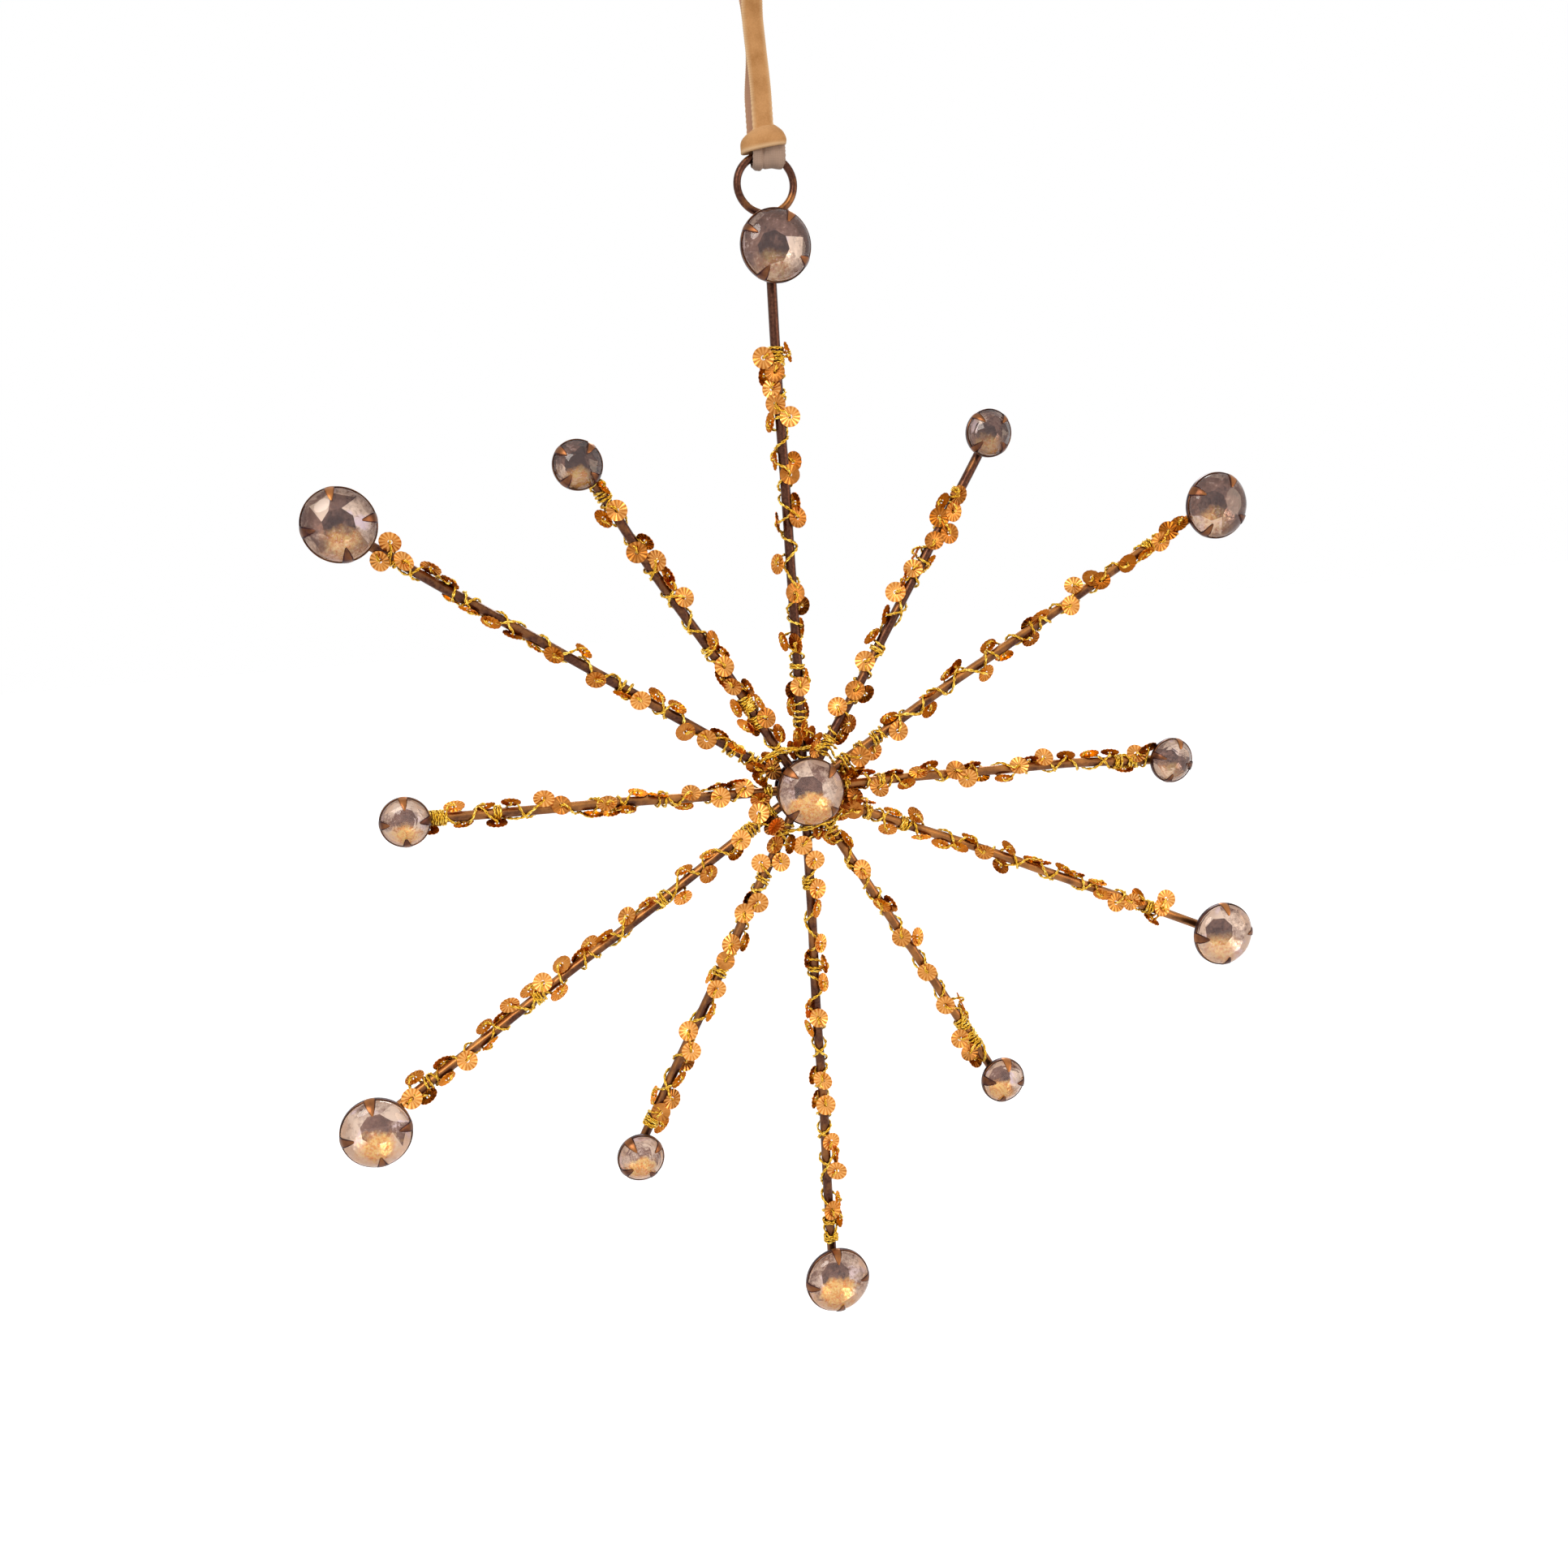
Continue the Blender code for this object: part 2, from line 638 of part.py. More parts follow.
def make_windings(parts, helpers, gold_thread, copper):
    """Twelve gold threads, each one unbroken tube, with a sequin on every turn."""
    for index, arm in enumerate(ARMS):
        points = winding_points(index)
        gap = least_gap(points, THREAD, 4)
        print(f"thread {arm.name}: least gap to itself {gap * 1000:.2f} mm")
        name = f"sequin_thread_{arm.name}"
        thread_mesh = mesh_from_curve(tube_curve(name, points, THREAD, THREAD_SIDES_LEVEL))
        matrix = arm_frame(index)
        thread = place(name, thread_mesh, gold_thread, parts, matrix)
        discs_mesh = sequins_mesh(f"sequins_{arm.name}", index)
        discs = place(f"sequins_{arm.name}", discs_mesh, copper, helpers, matrix)
        add_boolean(thread, hide_helper(discs), "UNION")


def band(name, path, material, parts):
    """A stretch of the ribbon, flat along X, that follows a path in the YZ plane."""
    bm = bmesh.new()
    rows = []
    for side in (-RIBBON_WIDTH / 2, RIBBON_WIDTH / 2):
        rows.append([bm.verts.new((side, y, z)) for y, z in path])
    for i in range(len(path) - 1):
        bm.faces.new((rows[0][i], rows[0][i + 1], rows[1][i + 1], rows[1][i]))
    ribbon = place(name, mesh_of(bm, name), material, parts)
    solid = ribbon.modifiers.new("Pile", "SOLIDIFY")
    solid.thickness = RIBBON_THICKNESS
    solid.offset = 0.0
    solid.use_even_offset = True


def strand_offset(height):
    """How far a strand stands from the middle, front or back, at this height."""
    top = -HOOK_RADIUS
    widest = HOOK_RADIUS + RIBBON_THICKNESS / 2
    share = max(0.0, min(1.0, (height - FOLD_HEIGHT) / (top - FOLD_HEIGHT)))
    eased = share * share * (3 - 2 * share)
    return STRAND_SPREAD + (widest - STRAND_SPREAD) * eased


def half_circle(radius, height, count):
    """Points of half a circle in the YZ plane, from one strand over to the other."""
    angles = [math.pi * i / count for i in range(count + 1)]
    return [(-radius * math.cos(a), height + radius * math.sin(a)) for a in angles]


def make_ribbon(parts, velvet):
    """The loop over the hook, and the neck where its two strands come together above the hitch."""
    widest = HOOK_RADIUS + RIBBON_THICKNESS / 2
    low = NECK_TOP + GAP
    heights = [low + (-HOOK_RADIUS - low) * i / LOOP_STEPS for i in range(LOOP_STEPS)]
    front = [(-strand_offset(height), height) for height in heights]
    over = half_circle(widest, -HOOK_RADIUS, HOOK_STEPS)
    back = [(-y, z) for y, z in reversed(front)]
    band("ribbon_loop", front + over + back, velvet, parts)
    neck_heights = [NECK_TOP, (NECK_TOP * 2 + FOLD_HEIGHT) / 3, (NECK_TOP + FOLD_HEIGHT * 2) / 3]
    down = [(-strand_offset(height), height) for height in neck_heights]
    under = [(y, 2 * FOLD_HEIGHT - z) for y, z in half_circle(STRAND_SPREAD, FOLD_HEIGHT, FOLD_STEPS)]
    up = [(-y, z) for y, z in reversed(down)]
    band("ribbon_neck", down + under + up, velvet, parts)


def loft_mesh(name, rings):
    """Closed mesh through rings of as many points each, from the top one down."""
    bm = bmesh.new()
    loops = [[bm.verts.new(point) for point in ring] for ring in rings]
    for above, below in zip(loops, loops[1:]):
        for i, vert in enumerate(above):
            after = (i + 1) % len(above)
            bm.faces.new((vert, above[after], below[after], below[i]))
    bm.faces.new(loops[0])
    bm.faces.new(reversed(loops[-1]))
    bmesh.ops.recalc_face_normals(bm, faces=bm.faces)
    return mesh_of(bm, name)


def hitch_ring(height, half_width, front, back):
    """Rounded oblong section of the hitch at this height."""
    points = []
    for i in range(HITCH_CORNERS):
        angle = math.tau * i / HITCH_CORNERS
        across = math.copysign(abs(math.cos(angle)) ** 0.6, math.cos(angle))
        deep = math.copysign(abs(math.sin(angle)) ** 0.8, math.sin(angle))
        points.append((half_width * across, (back if deep > 0 else front) * deep, height))
    return points


def make_hitch(parts, helpers, velvet):
    """The hitch: a full band across the strands, and the ribbon's folded tongue round the wire below it."""
    rings = []
    for height, half_width, front, back in BAND_SECTIONS:
        sizes = (HITCH_RISE * height, HITCH_WIDTH / 2 * half_width, HITCH_FRONT * front, HITCH_BACK * back)
        rings.append(hitch_ring(*sizes))
    for depth, half_width, front, back in TONGUE_SECTIONS:
        sizes = (-HITCH_FALL * depth, TONGUE_WIDTH / 2 * half_width, HITCH_FRONT * front, HITCH_BACK * back)
        rings.append(hitch_ring(*sizes))
    at_wire = Matrix.Translation((0, 0, WIRE_HEIGHT))
    hitch = place("ribbon_hitch", loft_mesh("ribbon_hitch", rings), velvet, parts, at_wire)
    points = [(x, 0, z) for x, z in circle_points(RING_RADIUS, RING_STEPS)]
    channel_width = RING_WIRE + 2 * GAP
    curve = tube_curve("wire_channel", points, channel_width, RING_SIDES_LEVEL, closed=True)
    at_ring = Matrix.Translation(RING_CENTRE)
    channel = place("wire_channel", mesh_from_curve(curve), None, helpers, at_ring)
    add_boolean(hitch, hide_helper(channel), "DIFFERENCE")
    shade_round(hitch)


def main():
    """Build the ornament."""
    clear_scene()
    parts = new_collection("Star ornament")
    helpers = new_collection("Helpers")
    bronze = new_material("Bronze rod", (0.20, 0.095, 0.055), 1.0, 0.35)
    cup_finish = new_material("Dark bronze cup", (0.11, 0.045, 0.035), 1.0, 0.40)
    glass = new_material("Mauve glass", (0.35, 0.26, 0.24), 0.0, 0.05, 0.6)
    gold_thread = new_material("Gold thread", (0.68, 0.45, 0.03), 0.8, 0.40)
    copper = new_material("Copper sequin", (0.69, 0.27, 0.08), 0.9, 0.30)
    velvet = new_material("Velvet ribbon", (0.60, 0.32, 0.11), 0.0, 0.95)
    make_rods(parts, bronze)
    make_hub(parts, bronze)
    make_settings(parts, helpers, cup_finish, glass)
    make_ring(parts, bronze)
    make_windings(parts, helpers, gold_thread, copper)
    make_ribbon(parts, velvet)
    make_hitch(parts, helpers, velvet)


main()
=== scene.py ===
"""Finishes, light and camera of a hanging star: bronze rods with glass stones, gold thread and sequins."""

import logging
import math
import random
from dataclasses import dataclass
from enum import Enum
from functools import cached_property, partial
from itertools import accumulate
from typing import Any, Callable, Optional, Sequence

import bmesh
import bpy
from mathutils import Matrix, Vector


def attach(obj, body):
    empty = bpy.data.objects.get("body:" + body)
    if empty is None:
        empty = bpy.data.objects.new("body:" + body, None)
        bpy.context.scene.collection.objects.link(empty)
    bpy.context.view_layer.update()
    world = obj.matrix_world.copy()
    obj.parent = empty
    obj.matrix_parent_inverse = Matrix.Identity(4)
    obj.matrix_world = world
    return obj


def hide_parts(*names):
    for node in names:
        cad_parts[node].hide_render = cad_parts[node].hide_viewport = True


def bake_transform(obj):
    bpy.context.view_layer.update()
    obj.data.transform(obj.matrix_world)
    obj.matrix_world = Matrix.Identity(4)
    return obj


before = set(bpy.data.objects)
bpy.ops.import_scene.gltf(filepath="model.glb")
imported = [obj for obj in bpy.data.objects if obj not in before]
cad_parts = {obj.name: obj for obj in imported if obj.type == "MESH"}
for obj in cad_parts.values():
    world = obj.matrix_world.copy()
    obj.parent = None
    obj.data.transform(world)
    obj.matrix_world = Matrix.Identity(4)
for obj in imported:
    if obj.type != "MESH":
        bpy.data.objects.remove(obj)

LOG = logging.getLogger("star_ornament")
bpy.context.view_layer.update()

# The CAD part's own lengths, in metres: a hook carries the ribbon at the origin, and the front looks to -Y.
ROD_RADIUS = 0.0010
GAP = 0.0003
LONG_ARM = 0.1075
SHORT_ARM = 0.0820
RING_HEIGHT = 0.1197
RING_REACH = 0.00625
RING_CENTRE = Vector((0.0, 0.0, -0.04145))
CENTRE = Vector((0.0, 0.0, -0.16115))
ARM_STEP = math.tau / 12
ROD_ROOT = (2 * ROD_RADIUS + GAP) / (2 * math.sin(ARM_STEP / 2)) + GAP / 4
CUP_BACK = ROD_RADIUS + GAP
FRONT = Vector((0.0, -1.0, 0.0))
RIGHT = Vector((1.0, 0.0, 0.0))
MM = 0.001
# The way from the photograph's camera to the star, for a step of 1 backwards.
SIGHT = Vector((0.2570, 1.0, -0.1784))


@dataclass(frozen=True)
class Arm:
    """One arm as it was bent and set by hand, as in the CAD part."""

    name: str
    is_long: bool
    lean: float
    stretch: float
    claw_turn: float
    polish: float
    glow: float
    paleness: float
    shine: float
    bends: tuple[float, float, float] = (0.0, 0.0, 0.0)

    @property
    def index(self) -> int:
        """Place in the ring of arms, clockwise from the top."""
        return ARMS.index(self)

    @property
    def root(self) -> Vector:
        """Inner end of the rod."""
        return along(math.pi / 2 - ARM_STEP * self.index, ROD_ROOT)

    @property
    def stone_place(self) -> Vector:
        """Middle of the stone, in the plane of the rods."""
        angle = math.pi / 2 - ARM_STEP * self.index + math.radians(self.lean)
        return along(angle, (LONG_ARM if self.is_long else SHORT_ARM) + self.stretch)

    @property
    def run(self) -> float:
        """Distance from the rod's inner end to the stone's middle."""
        return (self.stone_place - self.root).length

    @property
    def frame(self) -> Matrix:
        """Matrix at the rod's inner end: Z runs out along the rod and Y comes out of the star's front."""
        outward = (self.stone_place - self.root).normalized()
        turn = Matrix((FRONT.cross(outward), FRONT, outward)).transposed().to_4x4()
        return Matrix.Translation(self.root) @ turn

    def bend(self, distance: float) -> float:
        """Return how far the hand-bent rod lies to the left of its straight line.

        Args:
            distance: Distance along the rod from its inner end.

        Returns:
            The distance to the left, seen from the front and looking outwards.
        """
        knots = (0.0, *self.bends)
        place = min(max(distance / self.run, 0.0), 1.0) * 3
        low = min(int(place), 2)
        return (knots[low] + (knots[low + 1] - knots[low]) * smooth_step(place - low)) * MM


def along(angle: float, distance: float) -> Vector:
    """Return the point of the star's plane at an angle and a distance from its middle."""
    return CENTRE + Vector((math.cos(angle), 0.0, math.sin(angle))) * distance


# From the top, clockwise. The last four numbers say how far handling has made the rod's brown skin bright,
# together with painted light for how the light falls on that arm; how strong the gold glow painted on the stone's
# foil is; how pale that foil is; and how much brighter the arm's sequins are painted, as painted light. Then
# come a hand-bent rod's bends: millimetres to the left at a third, two thirds and all of its length.
ARMS = (
    Arm("top_long", True, 0.0, 0.0, 30, 0.00, 0.35, -0.20, -0.08, (-0.3, 0.1, 0.0)),
    Arm("upper_right_short", False, -1.5, 0.0, 50, 0.12, 0.45, -0.28, -0.15, (-0.6, -1.0, -1.3)),
    Arm("upper_right_long", True, -1.0, 0.0, 30, 0.35, 0.40, -0.24, -0.23, (0.2, 0.0, -0.2)),
    Arm("right_short", False, -1.5, 0.0005, 20, 0.50, 0.35, -0.09, -0.06, (0.5, 0.5, -0.2)),
    Arm("lower_right_long", True, 5.5, -0.0045, 0, 0.60, 0.70, -0.05, -0.10, (0.3, 0.2, -0.2)),
    Arm("lower_right_short", False, 0.0, -0.0025, 10, 0.55, 1.50, 0.14, -0.02),
    Arm("bottom_long", True, -0.5, 0.0, 0, 0.35, 1.80, 0.05, 0.28, (0.0, 0.2, 0.4)),
    Arm("lower_left_short", False, 0.5, 0.0015, 60, 0.30, 1.60, 0.30, 0.12),
    Arm("lower_left_long", True, 2.0, 0.0020, -5, 0.35, 1.20, 0.17, 0.10),
    Arm("left_short", False, -2.0, -0.0010, 0, 0.45, 1.10, 0.12, -0.02, (0.0, 0.1, 0.4)),
    Arm("upper_left_long", True, -4.5, -0.0020, -8, 0.30, 0.70, -0.13, 0.00, (0.0, 0.5, 0.4)),
    Arm("upper_left_short", False, 1.5, -0.0020, 40, 0.30, 0.60, -0.26, -0.04, (-0.5, -0.5, -1.2)),
)
# Two-ply gold thread: each ply is 0.34 mm thick, and the two are loosely twisted.
LUREX = {"Step": 0.00022, "Radius": 0.00017, "Offset": 0.00015, "Twist": 0.0028, "Sides": 6}


def linear(hex_colour: str) -> tuple[float, float, float, float]:
    """Turn an sRGB hex colour into linear values.

    Args:
        hex_colour: Six hexadecimal digits after a hash sign.

    Returns:
        Red, green, blue and an alpha of 1.
    """
    shares = [int(hex_colour[i:i + 2], 16) / 255 for i in (1, 3, 5)]
    red, green, blue = ((s / 12.92) if s <= 0.04045 else ((s + 0.055) / 1.055) ** 2.4 for s in shares)
    return red, green, blue, 1.0


def plug(node: bpy.types.Node, inputs: dict) -> None:
    """Feed a node's sockets.

    Args:
        node: The node.
        inputs: For each socket, by name or number, its value, an sRGB hex colour, the socket that feeds it, or
            the node whose first output in use feeds it.
    """
    for key, value in inputs.items():
        if isinstance(value, bpy.types.Node):
            value = next(output for output in value.outputs if output.enabled)
        if isinstance(value, bpy.types.NodeSocket):
            node.id_data.links.new(value, node.inputs[key])
        else:
            is_colour = isinstance(value, str) and value.startswith("#")
            node.inputs[key].default_value = linear(value) if is_colour else value


def add_node(tree: bpy.types.NodeTree, kind: str, inputs: Optional[dict] = None, **settings: Any) -> bpy.types.Node:
    """Add a node to a tree.

    Args:
        tree: Tree of a material, a world or Geometry Nodes.
        kind: Blender's name for the node's type.
        inputs: What feeds its sockets, as plug takes it.
        **settings: Values of the node's own properties.

    Returns:
        The new node.
    """
    node = tree.nodes.new(kind)
    for name, value in settings.items():
        setattr(node, name, value)
    plug(node, inputs or {})
    return node


# Materials

Adder = Callable[..., bpy.types.Node]
ATTRIBUTE = "ShaderNodeAttribute"
BUMP = "ShaderNodeBump"
MATH = "ShaderNodeMath"
MIX = "ShaderNodeMix"
NOISE = "ShaderNodeTexNoise"
PLACE = "ShaderNodeTexCoord"
RAMP = "ShaderNodeMapRange"
UV_MAP = "ShaderNodeUVMap"
VECTORS = "ShaderNodeVectorMath"
WAVE = "ShaderNodeTexWave"


@dataclass(frozen=True)
class Finish:
    """A finish of the ornament: one procedural material, named for the real one."""

    name: str

    def surface(self, add: Adder) -> dict:
        """Add the finish's own nodes.

        Args:
            add: Adds a node to the finish's tree.

        Returns:
            For each socket of the Principled shader, its value or what feeds it.
        """
        raise NotImplementedError

    @cached_property
    def material(self) -> bpy.types.Material:
        """The finish's material, made when it is first asked for."""
        material = bpy.data.materials.new(self.name)
        material.use_nodes = True
        tree = material.node_tree
        plug(tree.nodes["Principled BSDF"], self.surface(partial(add_node, tree)))
        return material


@dataclass(frozen=True)
class BrownedBronze(Finish):
    """Drawn bronze wire or pressed bronze sheet with a chemically browned skin.

    The eye sees a satin brown metal, lighter and redder where handling rubs the skin and where a painted
    highlight is laid on, with fine lines that follow the drawing of the wire.
    """

    shade: str
    skin: str
    rubbed_and_lit: str
    roughness: float
    line_depth_mm: float

    def surface(self, add: Adder) -> dict:
        """Add the finish's own nodes.

        Args:
            add: Adds a node to the finish's tree.

        Returns:
            What feeds the shader. An attribute from 0 to 1 says how far a piece is brightened by wear and by painted
            highlight.
        """
        place = add(PLACE).outputs["Object"]
        # Stains of about 3 mm, and specks of about 0.5 mm inside them.
        stains = add(NOISE, {"Vector": place, "Scale": 330.0, "Detail": 4.0})
        specks = add(NOISE, {"Vector": place, "Scale": 2000.0, "Detail": 2.0})
        # Painted highlights: the attribute mixes painted light into the wear, so the bright colour stands for both.
        polish = add(ATTRIBUTE, attribute_name="polish").outputs["Fac"]
        rubbing_and_light = add(MATH, {0: polish, 1: stains}, operation="ADD")
        worn_and_lit = add(RAMP, {"Value": rubbing_and_light, "From Min": 0.70, "From Max": 1.60})
        dark = add(RAMP, {"Value": specks, "From Min": 0.35, "From Max": 0.62})
        base = add(MIX, {0: dark, 6: self.shade, 7: self.skin}, data_type="RGBA")
        colour = add(MIX, {0: worn_and_lit, 6: base, 7: self.rubbed_and_lit}, data_type="RGBA")
        rough = add(RAMP, {"Value": stains, "To Min": self.roughness - 0.06, "To Max": self.roughness + 0.12})
        # Drawing lines 0.12 mm apart across the wire and several millimetres long, in the wire's UV map.
        stretched = add("ShaderNodeMapping", {"Vector": add(UV_MAP), "Scale": (1.0, 45.0, 1.0)})
        lines = add(NOISE, {"Vector": stretched, "Scale": 0.6, "Detail": 3.0})
        bump = add(BUMP, {"Strength": 0.5, "Distance": self.line_depth_mm * MM, "Height": lines})
        return {"Base Color": colour, "Roughness": rough, "Normal": bump, "Metallic": 0.92}


@dataclass(frozen=True)
class PressedGlass(Finish):
    """Pressed soda glass with a faint mauve tint: clear, with small bubbles and a slightly soft surface."""

    name: str = "Pressed mauve glass"
    tint: str = "#FBF4F3"

    def surface(self, add: Adder) -> dict:
        """Add the finish's own nodes.

        Args:
            add: Adds a node to the finish's tree.

        Returns:
            What feeds the shader. It dresses a stone's front.
        """
        # Waves of about 2 mm are left by the press.
        waves = add(NOISE, {"Vector": add(PLACE).outputs["Object"], "Scale": 450.0, "Detail": 1.0})
        bump = add(BUMP, {"Strength": 0.35, "Distance": 0.05 * MM, "Height": waves})
        clear = {"Roughness": 0.015, "IOR": 1.52, "Transmission Weight": 1.0}
        return {"Base Color": self.tint, "Normal": bump, **clear}


@dataclass(frozen=True)
class StoneFoil(Finish):
    """Foiled back of a glass stone: mauve-brown in the middle, pale round it, with a painted gold glow low down.

    Its colour changes in patches from facet to facet, and in one place a warm glow with white glints is
    painted on as a painted reflection.
    """

    name: str = "Worn mauve foil"
    dark: str = "#3A180F"
    mauve: str = "#90695A"
    pale: str = "#FFE8D2"
    lilac: str = "#FBE8F2"
    glow: str = "#EE8A1C"
    bright_glow: str = "#FFDC84"
    edge: str = "#4A2E38"

    def surface(self, add: Adder) -> dict:
        """Add the finish's own nodes.

        Args:
            add: Adds a node to the finish's tree.

        Returns:
            What feeds the shader. The facet attribute is each facet's own tone. The spot attribute runs across
            and up the stone, in shares of its radius, and its third number is how strong the painted glow is.
        """
        place = add(PLACE).outputs["Object"]
        facet = add(ATTRIBUTE, attribute_name="facet").outputs["Fac"]
        spot = add(ATTRIBUTE, attribute_name="spot").outputs["Vector"]
        clouds = add(NOISE, {"Vector": place, "Scale": 420.0, "Detail": 6.0, "Roughness": 0.62})
        # A net of fine cracks, about 0.5 mm apart, mottles the foil.
        net = add(NOISE, {"Vector": place, "Scale": 1900.0, "Detail": 5.0, "Roughness": 0.7})
        mixed = add(MATH, {0: clouds, 1: 1.15, 2: facet}, operation="MULTIPLY_ADD")
        grained = add(MATH, {0: net, 1: 0.8, 2: mixed}, operation="MULTIPLY_ADD")
        low = add(RAMP, {"Value": grained, "From Min": 0.82, "From Max": 1.30})
        high = add(RAMP, {"Value": grained, "From Min": 1.30, "From Max": 1.62})
        dark = add(MIX, {0: low, 6: self.dark, 7: self.mauve}, data_type="RGBA")
        tone = add(MIX, {0: high, 6: dark, 7: self.pale}, data_type="RGBA")
        patches = add(NOISE, {"Vector": place, "Scale": 300.0, "Detail": 2.0})
        cool = add(RAMP, {"Value": patches, "From Min": 0.56, "From Max": 0.64})
        share = add(MATH, {0: cool, 1: high}, operation="MULTIPLY")
        tinted = add(MIX, {0: share, 6: tone, 7: self.lilac}, data_type="RGBA")
        # Painted shade: towards the girdle, where the foil is closest to the cup, it is painted dark as the cup's
        # shade.
        outline = add(VECTORS, {0: spot, 1: (1.0, 1.0, 0.0)}, operation="MULTIPLY")
        radial = add(VECTORS, {0: outline}, operation="LENGTH")
        rim = add(RAMP, {"Value": radial, "From Min": 0.90, "From Max": 0.99, "To Max": 0.8})
        rim_shaded = add(MIX, {0: rim, 6: tinted, 7: self.edge}, data_type="RGBA")
        # Painted reflection: a warm glow is painted low on the stone, and the clouds fray its edge.
        shifted = add(VECTORS, {0: spot, 1: (0.0, 0.46, 0.0)}, operation="ADD")
        frayed = add(VECTORS, {0: clouds.outputs["Color"], 1: (0.7, 0.7, 0.0), 2: shifted}, operation="MULTIPLY_ADD")
        centred = add(VECTORS, {0: frayed, 1: (0.35, 0.35, 0.0)}, operation="SUBTRACT")
        flat = add(VECTORS, {0: centred, 1: (1.0, 1.25, 0.0)}, operation="MULTIPLY")
        far = add(VECTORS, {0: flat}, operation="LENGTH")
        near = add(RAMP, {"Value": far, "From Min": 0.24, "From Max": 0.60, "To Min": 1.0, "To Max": 0.0})
        strength = add("ShaderNodeSeparateXYZ", {0: spot}).outputs[2]
        warm = add(MATH, {0: near, 1: strength}, operation="MULTIPLY")
        # The net of cracks mottles the painted glow.
        glow_mottle = add(RAMP, {"Value": net, "From Min": 0.38, "From Max": 0.60})
        gold = add(MIX, {0: glow_mottle, 6: self.glow, 7: self.bright_glow}, data_type="RGBA")
        lit = add(MIX, {0: warm, 6: rim_shaded, 7: gold}, data_type="RGBA")
        # Painted glints: creases of the foil, about 0.2 mm wide, are painted white round the glow, and flakes are
        # about 0.7 mm wide.
        creases = add(NOISE, {"Vector": place, "Scale": 3400.0, "Detail": 3.0})
        bright = add(RAMP, {"Value": creases, "From Min": 0.60, "From Max": 0.68, "To Max": 0.5})
        spark = add(MATH, {0: bright, 1: near}, operation="MULTIPLY")
        seen = add(MIX, {0: spark, 6: lit, 7: self.lilac}, data_type="RGBA")
        flakes = add("ShaderNodeTexVoronoi", {"Vector": place, "Scale": 1400.0})
        bump = add(BUMP, {"Strength": 0.5, "Distance": 0.08 * MM, "Height": flakes})
        return {"Base Color": seen, "Normal": bump, "Metallic": 0.35, "Roughness": 0.25}


@dataclass(frozen=True)
class GoldThread(Finish):
    """Two-ply lurex: a metallised film strip wrapped round a core, bright gold with dark gaps between wraps."""

    name: str = "Gold lurex thread"
    dark: str = "#A0701C"
    gold: str = "#E2B236"
    bright: str = "#FFE274"

    def surface(self, add: Adder) -> dict:
        """Add the finish's own nodes.

        Args:
            add: Adds a node to the finish's tree.

        Returns:
            What feeds the shader. The UV map runs round the ply and along it, in millimetres.
        """
        uv = add(UV_MAP)
        # Wraps lean across the ply, 0.45 mm apart so that they show.
        wrapping = {"Vector": uv, "Scale": 0.7, "Distortion": 0.8, "Detail Scale": 2.0}
        wraps = add(WAVE, wrapping, bands_direction="DIAGONAL").outputs["Fac"]
        glints = add(NOISE, {"Vector": uv, "Scale": 1.1, "Detail": 2.0})
        level = add(RAMP, {"Value": wraps, "From Min": 0.0, "From Max": 0.45})
        spark = add(RAMP, {"Value": glints, "From Min": 0.50, "From Max": 0.68})
        gold = add(MIX, {0: level, 6: self.dark, 7: self.gold}, data_type="RGBA")
        colour = add(MIX, {0: spark, 6: gold, 7: self.bright}, data_type="RGBA")
        bump = add(BUMP, {"Strength": 0.5, "Distance": 0.03 * MM, "Height": wraps})
        return {"Base Color": colour, "Normal": bump, "Metallic": 1.0, "Roughness": 0.34}


@dataclass(frozen=True)
class CopperSequin(Finish):
    """Copper-coloured metallised film, stamped in a sunburst, with soft gloss: painted highlights on ridges, painted
    shade in grooves.
    """

    name: str = "Stamped copper film"
    groove_in_shade: str = "#703C12"
    groove_in_light: str = "#CE741C"
    ridge_in_shade: str = "#B6661C"
    ridge_in_light: str = "#FFC274"
    edge_on: str = "#FFB67C"

    def surface(self, add: Adder) -> dict:
        """Add the finish's own nodes.

        Args:
            add: Adds a node to the finish's tree.

        Returns:
            What feeds the shader. The ridge attribute is 1 on a stamped ridge, and tone, which differs by sequin, is
            painted light.
        """
        ridge = add(ATTRIBUTE, attribute_name="ridge").outputs["Fac"]
        tone = add(ATTRIBUTE, attribute_name="tone").outputs["Fac"]
        # Handling leaves dull and bright places about 1 mm wide.
        mottle = add(NOISE, {"Vector": add(PLACE).outputs["Object"], "Scale": 800.0, "Detail": 3.0})
        shift = add(MATH, {0: mottle, 1: 0.9, 2: tone}, operation="MULTIPLY_ADD")
        light = add(RAMP, {"Value": shift, "From Min": 0.40, "From Max": 1.45})
        # Painted light and shade: each groove and ridge colour has a shaded and a lit copy, and grooves are painted
        # darker than ridges.
        groove = add(MIX, {0: light, 6: self.groove_in_shade, 7: self.groove_in_light}, data_type="RGBA")
        crest = add(MIX, {0: light, 6: self.ridge_in_shade, 7: self.ridge_in_light}, data_type="RGBA")
        high = add(RAMP, {"Value": ridge, "From Min": 0.10, "From Max": 0.85})
        colour = add(MIX, {0: high, 6: groove, 7: crest}, data_type="RGBA")
        bump = add(BUMP, {"Strength": 0.3, "Distance": 0.02 * MM, "Height": mottle})
        gloss = {"Metallic": 1.0, "Roughness": 0.30, "Specular Tint": self.edge_on}
        return {"Base Color": colour, "Normal": bump, **gloss}


